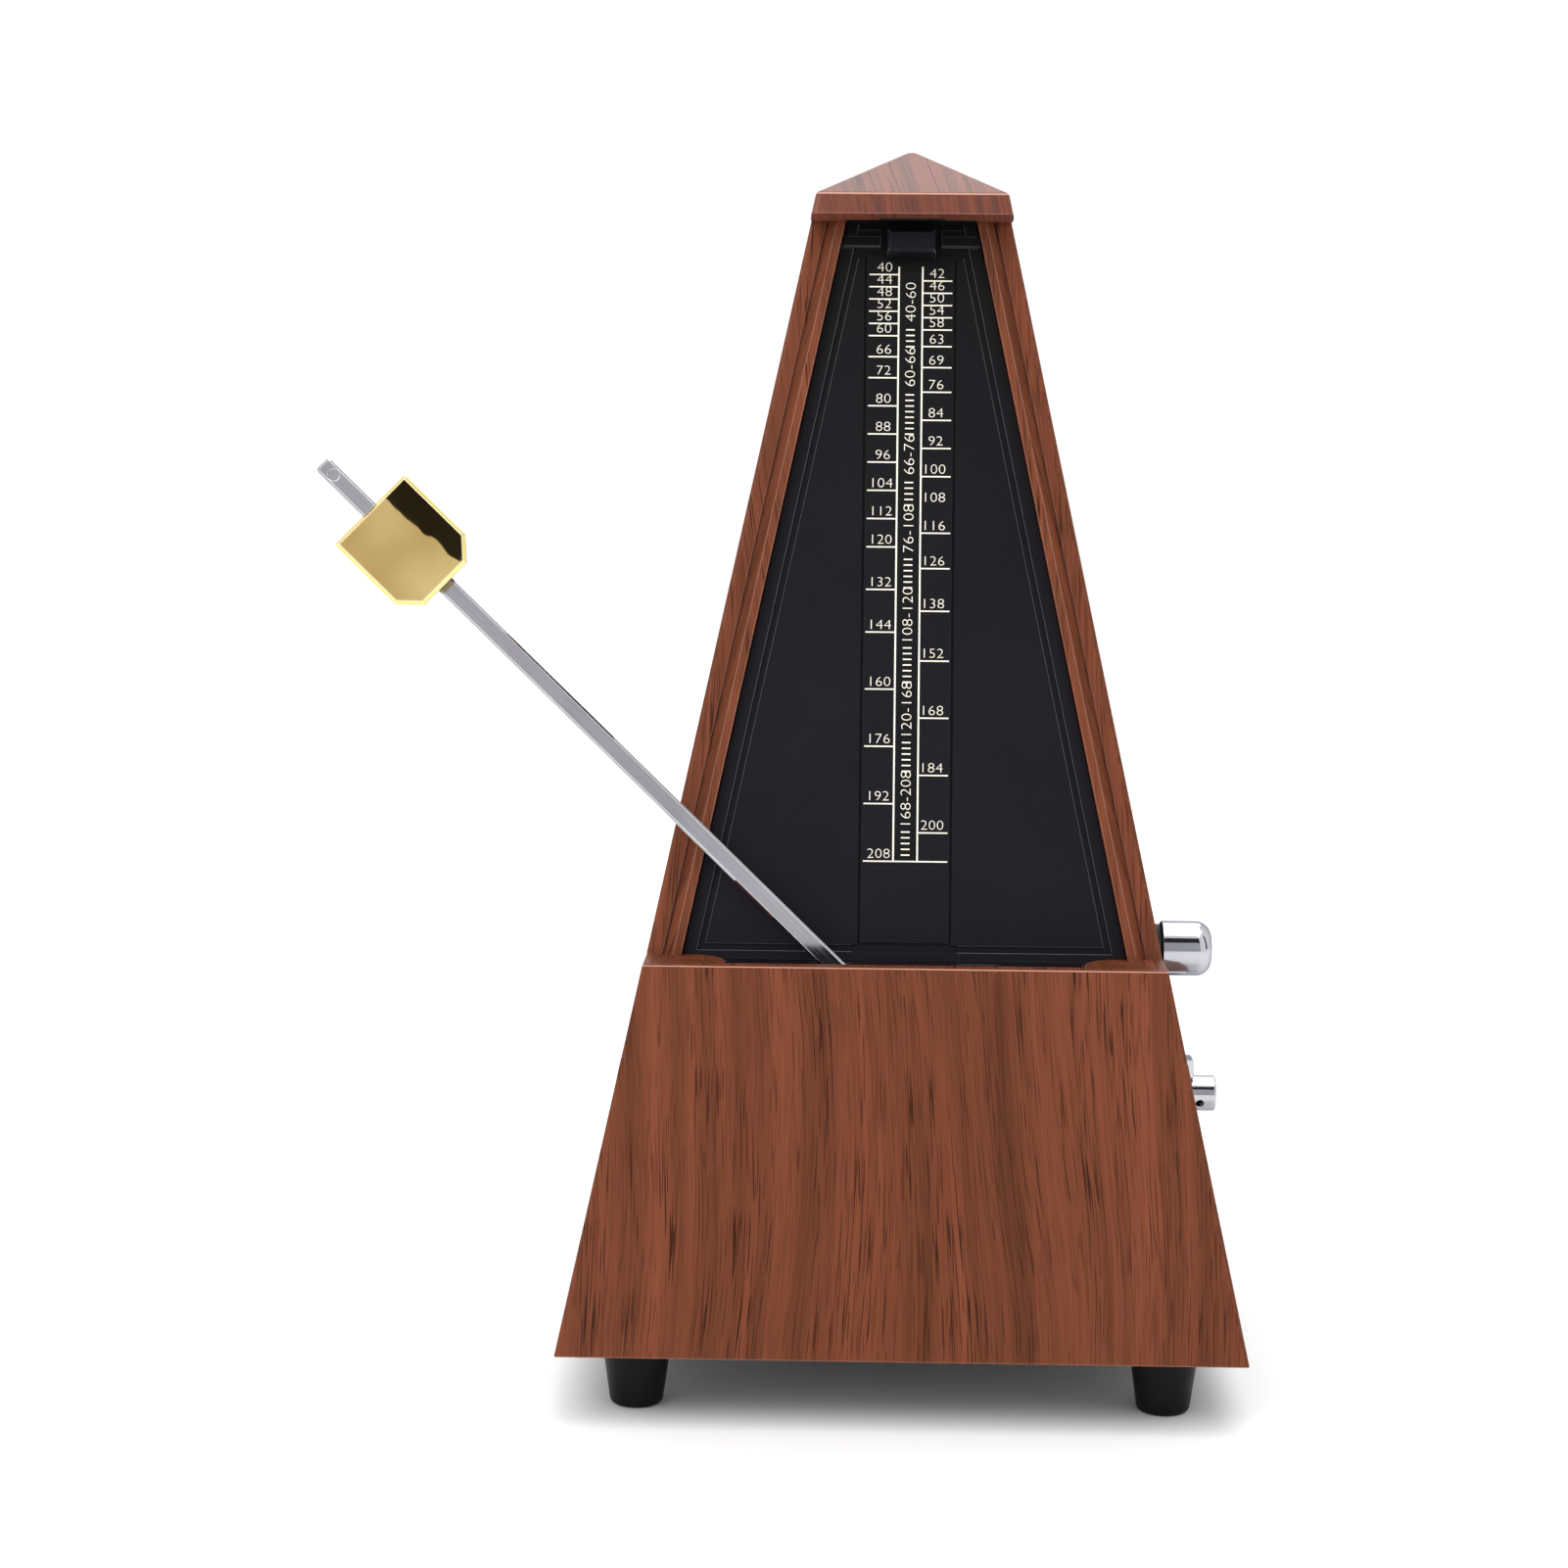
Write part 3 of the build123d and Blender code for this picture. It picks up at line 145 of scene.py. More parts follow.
# Tempo print on the scale strip.
PRINT_PROUD = 0.03 * MM
END_LINE_PROUD = 1.1 * PRINT_PROUD
BAND_PROUD = PRINT_PROUD / 3
LINE_WIDTH = 0.23 * MM
RULE_WIDTH = 0.28 * MM
RULE_HALF_GAP = 2.05 * MM
RULE_OVERRUN = 1.4 * MM
TICK_END = 7.2 * MM
NUMBER_HEIGHT = 1.6 * MM
NUMBER_STRETCH = 1.15
NUMBER_GAP = 0.42 * MM
NUMBER_OUT = 4.55 * MM
STROKE_OFFSET = -0.021
STROKE_DEPTH = 0.5
CURVE_STEPS = 3

# Places of the tempos: an even pitch for each beat, and a closer one below the slow tempo.
SLOWEST, SLOW_TEMPO, FASTEST = 40, 60, 208
FAST_END = 13.96 * MM
BEAT_PITCH = 0.6165 * MM
SLOW_BEAT_PITCH = 0.54 * MM
LEFT_TEMPOS = (
    40, 44, 48, 52, 56, 60, 66, 72, 80, 88,
    96, 104, 112, 120, 132, 144, 160, 176, 192, 208,
)
RIGHT_TEMPOS = (
    42, 46, 50, 54, 58, 63, 69, 76, 84, 92,
    100, 108, 116, 126, 138, 152, 168, 184, 200,
)
UNLINED_TEMPO = 108

# Tempo ranges between the rules, each above a row of plain marks and some clear pitches.
RANGE_HEIGHT = 1.75 * MM
RANGE_PITCH = 0.985 * MM
MARK_LENGTH = 1.5 * MM
CLEAR_PITCHES = 1.6
TEMPO_RANGES = (
    (5, "168-208"),
    (6, "120-168"),
    (7, "108-120"),
    (6, "76-108"),
    (5, "66-76"),
    (8, "60-66"),
    (4, "40-60"),
)

# Bare plate at the foot of the strip.
BLANK_HALF_WIDTH = 6.9 * MM
BLANK_LOW = 1.0 * MM
BLANK_HIGH = 13.0 * MM
BLANK_PROUD = 0.06 * MM
BLANK_CORNER = 0.4 * MM
BLANK_CORNER_STEPS = 4

# Plates over the lower chamfers of the weight.
CHAMFER_TURN = 0.6
PLATE_SHARE = 0.97
PLATE_PROUD = 0.01 * MM
PLATE_THICK = 0.25 * MM

# Floor, surroundings and lamps: each lamp has a place, a target, a width and a power.
FLOOR_REACH = 6.0
FLOOR_COLOUR = (0.93, 0.93, 0.93, 1.0)
FLOOR_ROUGHNESS = 0.6
STAGE_SPECULAR = 0.2
WORLD_COLOUR = (1.0, 1.0, 1.0, 1.0)
WORLD_STRENGTH = 1.08
LAMPS = {
    "key_lamp": ((-0.7, -0.8, 1.0), (0, 0, 0.1), 0.7, 5.0),
    "top_lamp": ((0.2, -0.1, 1.3), (0, 0, 0.1), 0.9, 4.0),
    "back_lamp": ((0.0, 0.8, 1.1), (0, 0, 0.2), 1.0, 4.5),
}

# Cards behind the camera: left, right, low and high.
CARD_PLACE = -1.3
CARD_ROUGHNESS = 0.9
DARK_CARD = (0.02, 0.02, 0.022, 1.0)
PALE_CARD = (0.4, 0.4, 0.42, 1.0)
LOW_CARD = (-0.15, 0.09, 0.0, 0.394)
SIDE_CARD = (0.09, 0.6, 0.92, 1.8)
GREY_CARD = (0.09, 0.6, 0.0, 0.92)

# Card on the right: near, far, low and high.
RIGHT_CARD_PLACE = 1.3
RIGHT_CARD = (-0.5, -0.2, 0.1, 1.5)

# Dark flag before the part, given by where its corners show in the weight's polished face.
FLAG_PLACE = -0.3
FLAG_ON_WEIGHT = [Vector(place) * MM for place in ((4.4, -8.2), (8.6, -8.2), (8.6, 8.9), (3.4, 8.9))]


def linear(code):
    """Scene-linear colour from a display colour such as #7d4630."""
    channels = []
    for start in (1, 3, 5):
        value = int(code[start:start + 2], 16) / 255
        channels.append(value / 12.92 if value <= 0.04045 else ((value + 0.055) / 1.055) ** 2.4)
    return (*channels, 1.0)


class Surface:
    """One node material, with short ways to add and link its nodes."""

    def __init__(self, name):
        self.material = bpy.data.materials.new(name)
        self.material.use_nodes = True
        self.tree = self.material.node_tree
        self.shader = self.tree.nodes["Principled BSDF"]
        coordinates = self.tree.nodes.new("ShaderNodeTexCoord")
        self.place = coordinates.outputs["Object"]
        self.normal = coordinates.outputs["Normal"]

    def put(self, socket, value):
        """Link a socket to an input, or set the input to a constant."""
        if isinstance(value, bpy.types.NodeSocket):
            self.tree.links.new(value, socket)
        else:
            socket.default_value = value

    def set(self, **values):
        """Shader inputs by name, with underscores for spaces."""
        for name, value in values.items():
            self.put(self.shader.inputs[name.replace("_", " ")], value)

    def split(self, vector):
        """Components of a vector."""
        node = self.tree.nodes.new("ShaderNodeSeparateXYZ")
        self.put(node.inputs[0], vector)
        return node.outputs

    def join(self, x, y, z):
        """Vector from its components."""
        node = self.tree.nodes.new("ShaderNodeCombineXYZ")
        for socket, value in zip(node.inputs, (x, y, z)):
            self.put(socket, value)
        return node.outputs[0]

    def math(self, operation, first, second=0.0, third=0.0):
        """One operation on numbers."""
        node = self.tree.nodes.new("ShaderNodeMath")
        node.operation = operation
        for socket, value in zip(node.inputs, (first, second, third)):
            self.put(socket, value)
        return node.outputs[0]

    def times(self, first, second):
        """Product of two numbers."""
        return self.math("MULTIPLY", first, second)

    def times_plus(self, first, second, rest):
        """Product of two numbers, added to a third."""
        return self.math("MULTIPLY_ADD", first, second, rest)

    def off_mean(self, noise):
        """How far a noise lies above its mean."""
        return self.math("SUBTRACT", noise, NOISE_MEAN)

    def dot(self, first, second):
        """Scalar product of two vectors."""
        node = self.tree.nodes.new("ShaderNodeVectorMath")
        node.operation = "DOT_PRODUCT"
        self.put(node.inputs[0], first)
        self.put(node.inputs[1], second)
        return node.outputs["Value"]

    def noise(self, vector, scale=1.0, detail=2.0, roughness=0.5):
        """Soft noise with a number of octaves."""
        node = self.tree.nodes.new("ShaderNodeTexNoise")
        self.put(node.inputs["Vector"], vector)
        self.put(node.inputs["Scale"], scale)
        self.put(node.inputs["Detail"], detail)
        self.put(node.inputs["Roughness"], roughness)
        return node.outputs["Fac"]

    def ramp(self, value, low, high, start=0.0, end=1.0):
        """Map a span of values to another span, held at its ends."""
        node = self.tree.nodes.new("ShaderNodeMapRange")
        for socket, number in zip(node.inputs, (value, low, high, start, end)):
            self.put(socket, number)
        return node.outputs[0]

    def blend(self, factor, first, second):
        """Mix of two colours."""
        node = self.tree.nodes.new("ShaderNodeMix")
        node.data_type = "RGBA"
        self.put(node.inputs["Factor"], factor)
        self.put(node.inputs[6], first)
        self.put(node.inputs[7], second)
        return node.outputs[2]

    def choose(self, factor, first, second):
        """Mix of two numbers."""
        node = self.tree.nodes.new("ShaderNodeMix")
        self.put(node.inputs[0], factor)
        self.put(node.inputs[2], first)
        self.put(node.inputs[3], second)
        return node.outputs[0]

    def rounded(self, radius):
        """Normal over edges that the shader rounds."""
        bevel = self.tree.nodes.new("ShaderNodeBevel")
        bevel.samples = BEVEL_SAMPLES
        self.put(bevel.inputs["Radius"], radius)
        return bevel.outputs[0]

    def corners(self, radius):
        """How far a point lies on a sharp outer edge, and how far in a narrow inner corner."""
        geometry = self.tree.nodes.new("ShaderNodeNewGeometry")
        turn = self.dot(self.rounded(radius), geometry.outputs["Normal"])
        shade = self.tree.nodes.new("ShaderNodeAmbientOcclusion")
        shade.samples = NOOK_SAMPLES
        self.put(shade.inputs["Distance"], NOOK_RADII * radius)
        open_sky = shade.outputs["AO"]
        outside = self.ramp(open_sky, low=0.7, high=0.95)
        edge = self.times(self.ramp(turn, low=0.99, high=0.9), outside)
        nook = self.ramp(open_sky, low=0.85, high=0.45)
        return edge, nook

    def relief(self, height, depth, edge=0.0):
        """Bump of a real depth, over edges that the shader rounds."""
        bump = self.tree.nodes.new("ShaderNodeBump")
        self.put(bump.inputs["Distance"], depth)
        self.put(bump.inputs["Height"], height)
        if edge:
            self.put(bump.inputs["Normal"], self.rounded(edge))
        self.set(Normal=bump.outputs[0])


def wood_film(name, red, brown, pore, tilt, streaks, gloss, crest_top):
    """Printed wood grain up every face, with painted highlights on sharp edges and on upward rounds
    below a height, and painted shade in nooks.
    """
    film = Surface(name)
    place = film.split(film.place)
    normal = film.split(film.normal)
    aside = film.math("ABSOLUTE", normal["X"])
    ahead = film.math("ABSOLUTE", normal["Y"])
    straight = film.choose(film.math("GREATER_THAN", aside, ahead), place["X"], place["Y"])
    seed = film.times_plus(normal["X"], FACE_SEED_X, film.times(normal["Y"], FACE_SEED_Y))
    face = film.math("ROUND", seed)

    def grain(across, cells_across, cells_along, octaves):
        """Noise drawn out up the face."""
        wide = film.times(across, cells_across)
        tall = film.times(place["Z"], cells_along)
        return film.noise(film.join(wide, face, tall), detail=octaves)

    swayed = film.times_plus(film.off_mean(grain(straight, *SWAY_GRAIN)), SWAY, straight)
    tilted = film.times_plus(place["Z"], tilt, swayed)

    def layer(kind, start=0.0, end=1.0):
        """One layer of the print."""
        cells, span = WOOD_LAYERS[kind]
        return film.ramp(grain(tilted, *cells), *span, start, end)

    fibres = layer("fibres")
    contour = film.math("ABSOLUTE", film.off_mean(grain(tilted, *CONTOUR_GRAIN)))
    lines = film.ramp(contour, *CONTOUR_SPAN, start=CONTOUR_DARKNESS, end=0.0)
    pores = film.times(layer("pores"), layer("clusters", start=SPARSE_PORES))
    marks = film.math("MAXIMUM", pores, lines)
    tone = film.times_plus(layer("bands"), BAND_SHARE, film.times(layer("broad"), BROAD_SHARE))
    tone = film.times_plus(fibres, FIBRE_SHARE, tone)

    edge, nook = film.corners(radius=0.3 * MM)
    reach = film.times_plus(place["Z"], math.tan(LEAN), film.math("ABSOLUTE", place["X"]))
    edge = film.times(edge, film.math("LESS_THAN", reach, SIDE_WALL_REACH - PLAIN_CORNER))
    crest = film.times(film.ramp(normal["Z"], *CREST_START), film.ramp(normal["Z"], *CREST_END))
    crest = film.times(crest, film.math("LESS_THAN", place["Z"], crest_top))
    # Painted highlight: the wood turns lighter on sharp edges and on upward-facing rounds.
    painted_highlight = film.math("MAXIMUM", film.times(edge, WOOD_EDGE_HIGHLIGHT), film.times(crest, WOOD_CREST_HIGHLIGHT))

    colour = film.blend(tone, linear(brown), linear(red))
    colour = film.blend(film.times(layer("streaks"), streaks), colour, linear(pore))
    colour = film.blend(film.times(marks, PORE_DARKNESS), colour, linear(pore))
    # Painted shade: the wood darkens towards its pore colour in narrow nooks.
    colour = film.blend(film.times(nook, WOOD_NOOK_SHADE), colour, linear(pore))
    film.set(
        Base_Color=film.blend(painted_highlight, colour, linear(PAINTED_WOOD_HIGHLIGHT)),
        Roughness=film.ramp(marks, low=0.0, high=1.0, start=0.5, end=0.65),
        Specular_IOR_Level=0.06,
        Coat_Weight=gloss,
        Coat_Roughness=0.2,
    )
    height = film.times_plus(fibres, FIBRE_RELIEF, film.math("SUBTRACT", 1.0, marks))
    film.relief(height, depth=0.012 * MM, edge=0.25 * MM)
    return film.material


def black_moulding(
    name, colour, shine, glint, grain=PLASTIC_GRAIN, plain_half=0.0, plain_top=0.0, fade=0.0,
):
    """Satin black plastic that darkens up the dial, with painted shade in nooks and painted highlights
    on edges outside a plain middle.
    """
    plastic = Surface(name)
    place = plastic.split(plastic.place)
    fine = plastic.noise(plastic.place, grain)
    cloud = plastic.noise(plastic.place, PLASTIC_CLOUDS, detail=3.0)
    edge, nook = plastic.corners(radius=0.22 * MM)

    lighter = (*(CLOUD_GAIN * channel + CLOUD_LIFT for channel in linear(colour)[:3]), 1.0)
    clouded = plastic.ramp(cloud, low=0.35, high=0.75, end=0.6)
    body = plastic.blend(clouded, linear(colour), lighter)
    # Painted shade: the plastic turns deeper black in narrow nooks.
    body = plastic.blend(nook, body, linear(DEEP_BLACK))
    faded = plastic.ramp(place["Z"], FADE_LOW, FADE_HIGH, end=fade)
    body = plastic.blend(faded, body, linear(DEEP_BLACK))

    beside = plastic.math("GREATER_THAN", plastic.math("ABSOLUTE", place["X"]), plain_half)
    above = plastic.math("GREATER_THAN", place["Z"], plain_top)
    # Painted highlight: lighter grey on sharp edges outside the plain middle.
    painted_highlight = plastic.times(edge, plastic.times(plastic.math("MAXIMUM", beside, above), glint))
    plastic.set(
        Base_Color=plastic.blend(painted_highlight, body, linear(PAINTED_BLACK_HIGHLIGHT)),
        Roughness=plastic.ramp(cloud, *NOISE_SPAN, start=shine, end=shine + PLASTIC_SPREAD),
        Specular_IOR_Level=0.15,
    )
    plastic.relief(fine, depth=0.004 * MM, edge=0.2 * MM)
    return plastic.material


def drawn_metal(name, dark, light, highlight_colour, direction, shine, painted_highlight=0.3 * MM, groove=0.001 * MM):
    """Metal drawn or brushed along one direction in shallow grooves, with painted highlights on its
    edges.
    """
    metal = Surface(name)
    axis = Vector(direction).normalized()
    first = axis.orthogonal().normalized()
    second = axis.cross(first)
    cells = ((first, MARKS_ACROSS), (second, MARKS_ACROSS), (axis, MARKS_ALONG))
    drawn = [metal.times(metal.dot(metal.place, way), count) for way, count in cells]
    streaks = metal.noise(metal.join(*drawn))
    cloud = metal.noise(metal.place, METAL_CLOUDS, detail=3.0)
    tone = metal.times_plus(streaks, MARK_SHARE, metal.times(cloud, CLOUD_SHARE))
    colour = metal.blend(metal.ramp(tone, *NOISE_SPAN), linear(dark), linear(light))
    metal.set(
        # Painted highlight: the metal turns lighter on sharp edges.
        Base_Color=metal.blend(metal.corners(painted_highlight)[0], colour, linear(highlight_colour)),
        Metallic=1.0,
        Roughness=metal.ramp(streaks, *NOISE_SPAN, start=shine, end=DRAWN_SPREAD * shine),
    )
    metal.relief(streaks, depth=groove, edge=0.15 * MM)
    return metal.material


def polished_metal(name, dark, light, highlight_colour, shine, ripple, rim="#ffffff"):
    """Bright metal whose slightly wavy polish bends its reflections, with painted highlights on its
    edges.
    """
    metal = Surface(name)
    wave = metal.noise(metal.place, POLISH_WAVES, detail=0.0)
    bloom = metal.noise(metal.place, POLISH_BLOOM, roughness=0.4)
    colour = metal.blend(metal.ramp(bloom, low=0.25, high=0.75), linear(dark), linear(light))
    metal.set(
        # Painted highlight: the metal turns lighter on sharp edges.
        Base_Color=metal.blend(metal.corners(radius=0.5 * MM)[0], colour, linear(highlight_colour)),
        Metallic=1.0,
        Roughness=metal.ramp(bloom, low=0.3, high=0.75, start=shine, end=POLISH_SPREAD * shine),
        Specular_Tint=linear(rim),
    )
    metal.relief(wave, depth=ripple, edge=0.2 * MM)
    return metal.material


def cast_iron(name):
    """Dark rough casting."""
    iron = Surface(name)
    grit = iron.noise(iron.place, scale=1800.0, detail=4.0, roughness=0.65)
    iron.set(
        Base_Color=iron.blend(iron.ramp(grit, *NOISE_SPAN), linear("#2a2826"), linear("#4a4744")),
        Metallic=0.8,
        Roughness=iron.ramp(grit, *NOISE_SPAN, start=0.5, end=0.7),
    )
    iron.relief(grit, depth=0.06 * MM, edge=0.3 * MM)
    return iron.material


def print_ink(name):
    """Cream printing ink, a little uneven."""
    ink = Surface(name)
    patch = ink.noise(ink.place, scale=1500.0, detail=3.0)
    ink.set(
        Base_Color=ink.blend(ink.ramp(patch, low=0.35, high=0.7), linear("#f1ecd6"), linear("#fffcf0")),
        Roughness=ink.ramp(patch, *NOISE_SPAN, start=0.45, end=0.6),
    )
    ink.relief(patch, depth=0.004 * MM)
    return ink.material


materials = {
    "case": wood_film(
        "wood_film_case", red="#80452f", brown="#57301c", pore="#30160b",
        tilt=0.03, streaks=0.15, gloss=0.12, crest_top=LEDGE_CREST,
    ),
    "cap": wood_film(
        "wood_film_cap", red="#804430", brown="#643628", pore="#382529",
        tilt=0.3, streaks=0.42, gloss=0.52, crest_top=cap_high.z,
    ),
    "tray": black_moulding(
        "black_tray_plastic", "#110e16", shine=0.4, glint=0.8,
        plain_half=STRIP_CLEAR, plain_top=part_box("pendulum_clip")[0].z, fade=DIAL_FADE,
    ),
    "strip": black_moulding("black_strip_plastic", "#100e15", shine=0.42, glint=0.1, fade=DIAL_FADE),
    "band": black_moulding("black_band_ink", "#09080b", shine=0.5, glint=0.0),
    "fitting": black_moulding("black_fitting_plastic", "#110e14", shine=0.36, glint=0.8),
    "foot": black_moulding("black_foot_plastic", "#09090b", shine=0.4, glint=0.8, grain=FOOT_GRAIN),
    "rod": drawn_metal(
        "satin_aluminium", "#8f8f95", "#a9a9b0", "#ffffff", direction=rod_axis,
        shine=0.02, painted_highlight=0.22 * MM, groove=0.00002 * MM,
    ),
    "brass": polished_metal(
        "polished_brass", "#b0945a", "#d0b77d", "#fdf3c6", shine=0.012, ripple=0.007 * MM,
    ),
    # Lighter brass for the weight's front rim: a painted highlight.
    "painted_brass_rim": polished_metal(
        "brass_painted_highlight", "#e3c878", "#f4de98", "#fff6cc", shine=0.012, ripple=0.007 * MM,
    ),
    "chrome": polished_metal(
        "chrome_plate", "#b2b3b9", "#c4c5ca", "#d4d4da", shine=0.06, ripple=0.003 * MM, rim="#a8a8ae",
    ),
    "movement_brass": drawn_metal(
        "brushed_brass", "#a5813c", "#c9a55a", "#e4cc8c", direction=(0, 0.3, 1), shine=0.24,
    ),
    "movement_steel": drawn_metal(
        "turned_steel", "#7c7e82", "#a9abae", "#d8d9dc", direction=(1, 0, 0), shine=0.22,
    ),
    "bell": polished_metal("bell_metal", "#b99a5a", "#d8be82", "#ecdcae", shine=0.14, ripple=0.02 * MM),
    "iron": cast_iron("dark_casting"),
    "ink": print_ink("cream_ink"),
}

# Nodes of each look; those not named here are of steel.
NODE_LOOKS = {
    "case": ("case_shell",),
    "cap": ("top_cap",),
    "tray": ("dial_insert",),
    "strip": ("scale_strip",),
    "fitting": ("pendulum_clip", "base_plate", "key_bush", "bell_bush"),
    "foot": ("foot_front_left", "foot_front_right", "foot_rear_left", "foot_rear_right"),
    "rod": ("pendulum_rod",),
    "brass": ("sliding_weight",),
    "chrome": ("winding_key", "bell_knob", "bell_lug"),
    "movement_brass": (
        "plate_left", "plate_right", "verge_bridge", "great_wheel", "barrel_cover",
        "second_wheel", "escape_wheel", "bell_cams", "rod_clamp", "hammer_head",
    ),
    "bell": ("gong",),
    "iron": ("counterweight",),
}
node_look = {name: look for look, names in NODE_LOOKS.items() for name in names}
for name, node in nodes.items():
    node.data.materials.clear()
    node.data.materials.append(materials[node_look.get(name, "movement_steel")])


def add_look(name, look, chosen):
    """Second material on the faces of a node that a test of their normals chooses."""
    data = nodes[name].data
    data.materials.append(materials[look])
    for polygon in data.polygons:
        if chosen(polygon.normal):
            polygon.material_index = 1


def is_key_end(normal):
    """Whether a face of the key looks towards the case."""
    return normal.x < KEY_END_TURN


def is_front_rim(normal):
    """Whether a face of the weight slopes back from its front face."""
    return RIM_TURN_LOW < -normal.dot(DEPTH_AXIS) < RIM_TURN_HIGH


# The key's inner end in black plastic: painted shade where it faces the case.
add_look("winding_key", "fitting", is_key_end)
# The weight's front rim in lighter brass: a painted highlight.
add_look("sliding_weight", "painted_brass_rim", is_front_rim)


def make_strip_frame():
    """Frame on the face of the scale strip: across, up the strip from its lower end, and outwards."""
    offsets = [vertex.co - FACE_FOOT for vertex in nodes["scale_strip"].data.vertices]
    low = min(offset.dot(RISE_AXIS) for offset in offsets)
    front = min(offset.dot(DEPTH_AXIS) for offset in offsets)
    placed = Matrix.Identity(4)
    placed.col[1].xyz = RISE_AXIS
    placed.col[2].xyz = -DEPTH_AXIS
    placed.col[3].xyz = FACE_FOOT + DEPTH_AXIS * front + RISE_AXIS * low
    return placed


def tempo_rise(tempo):
    """Height of a tempo line above the lower end of the strip."""
    evenly = FAST_END + BEAT_PITCH * (FASTEST - max(tempo, SLOW_TEMPO))
    return evenly + SLOW_BEAT_PITCH * max(SLOW_TEMPO - tempo, 0)


strip_frame = make_strip_frame()
rule_low = tempo_rise(FASTEST)
rule_high = tempo_rise(SLOWEST) + RULE_OVERRUN


def add_bar(mesh, x_from, x_to, low, high, proud=PRINT_PROUD):
    """Raised bar on the strip."""
    middle = Vector(((x_from + x_to) / 2, (low + high) / 2, proud / 2))
    size = Matrix.Diagonal((x_to - x_from, high - low, proud, 1.0))
    bmesh.ops.create_cube(mesh, size=1.0, matrix=Matrix.Translation(middle) @ size)


def add_line(mesh, x_from, x_to, rise, proud=PRINT_PROUD):
    """Thin level bar with its middle at a height."""
    add_bar(mesh, x_from, x_to, rise - LINE_WIDTH / 2, rise + LINE_WIDTH / 2, proud)


def add_number(mesh, words, height, middle, turn=0.0):
    """Raised digits of a set height, centred on a place of the strip and turned in its plane."""
    curve = bpy.data.curves.new("digits", "FONT")
    curve.body = words
    curve.extrude = STROKE_DEPTH
    curve.offset = STROKE_OFFSET
    curve.resolution_u = CURVE_STEPS
    holder = bpy.data.objects.new("digits", curve)
    flat = bpy.data.meshes.new_from_object(holder)
    first = len(mesh.verts)
    mesh.from_mesh(flat)
    mesh.verts.ensure_lookup_table()
    fresh = mesh.verts[first:]
    low = Vector(min(vertex.co[axis] for vertex in fresh) for axis in range(3))
    high = Vector(max(vertex.co[axis] for vertex in fresh) for axis in range(3))
    scale = height / (high.y - low.y)
    shrink = Matrix.Diagonal((scale * NUMBER_STRETCH, scale, PRINT_PROUD / (high.z - low.z), 1.0))
    centre = Matrix.Translation(-Vector(((low.x + high.x) / 2, (low.y + high.y) / 2, low.z)))
    place = Matrix.Translation(Vector((*middle, 0.0))) @ Matrix.Rotation(turn, 4, "Z")
    bmesh.ops.transform(mesh, matrix=place @ shrink @ centre, verts=fresh)
    bpy.data.objects.remove(holder)
    bpy.data.curves.remove(curve)
    bpy.data.meshes.remove(flat)


def finish_piece(name, mesh, look, body="case", matrix=strip_frame):
    """Turn mesh work into a named piece that rides on a body."""
    bmesh.ops.transform(mesh, matrix=matrix, verts=mesh.verts)
    data = bpy.data.meshes.new(name)
    mesh.to_mesh(data)
    mesh.free()
    data.materials.append(materials[look])
    piece = bpy.data.objects.new(name, data)
    bpy.context.scene.collection.objects.link(piece)
    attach(piece, body)


def make_tempo_lines():
    """Two upright rules and a line under each tempo number."""
    mesh = bmesh.new()
    for side in (-1, 1):
        middle = side * RULE_HALF_GAP
        add_bar(mesh, middle - RULE_WIDTH / 2, middle + RULE_WIDTH / 2, rule_low, rule_high)
    for side, tempos in ((-1, LEFT_TEMPOS), (1, RIGHT_TEMPOS)):
        ends = sorted((side * (RULE_HALF_GAP + RULE_WIDTH / 2), side * TICK_END))
        for tempo in tempos:
            if tempo != UNLINED_TEMPO:
                add_line(mesh, *ends, tempo_rise(tempo))
    add_line(mesh, -TICK_END, TICK_END, rule_low, END_LINE_PROUD)
    finish_piece("tempo_lines", mesh, "ink")


def make_tempo_numbers(name, side, tempos):
    """One column of tempo numbers, each above its line."""
    mesh = bmesh.new()
    for tempo in tempos:
        rise = tempo_rise(tempo) + LINE_WIDTH / 2 + NUMBER_GAP + NUMBER_HEIGHT / 2
        add_number(mesh, str(tempo), NUMBER_HEIGHT, (side * NUMBER_OUT, rise))
    finish_piece(name, mesh, "ink")


def make_range_band():
    """Darker band between the upright rules."""
    mesh = bmesh.new()
    add_bar(mesh, -RULE_HALF_GAP, RULE_HALF_GAP, rule_low, rule_high, BAND_PROUD)
    finish_piece("range_band", mesh, "band")


def make_tempo_ranges():
    """Tempo ranges that read upwards between the rules, with plain marks between them."""
    digits = bmesh.new()
    marks = bmesh.new()
    rise = rule_low + RANGE_PITCH
    for count, words in TEMPO_RANGES:
        for number in range(count):
            low = rise + number * RANGE_PITCH
            add_bar(marks, -MARK_LENGTH / 2, MARK_LENGTH / 2, low, low + LINE_WIDTH)
        rise += (count + CLEAR_PITCHES) * RANGE_PITCH
        length = len(words) * RANGE_PITCH
        add_number(digits, words, RANGE_HEIGHT, (0.0, rise + length / 2), math.pi / 2)
        rise += length + RANGE_PITCH
    finish_piece("tempo_ranges", digits, "ink")
    finish_piece("range_marks", marks, "ink")


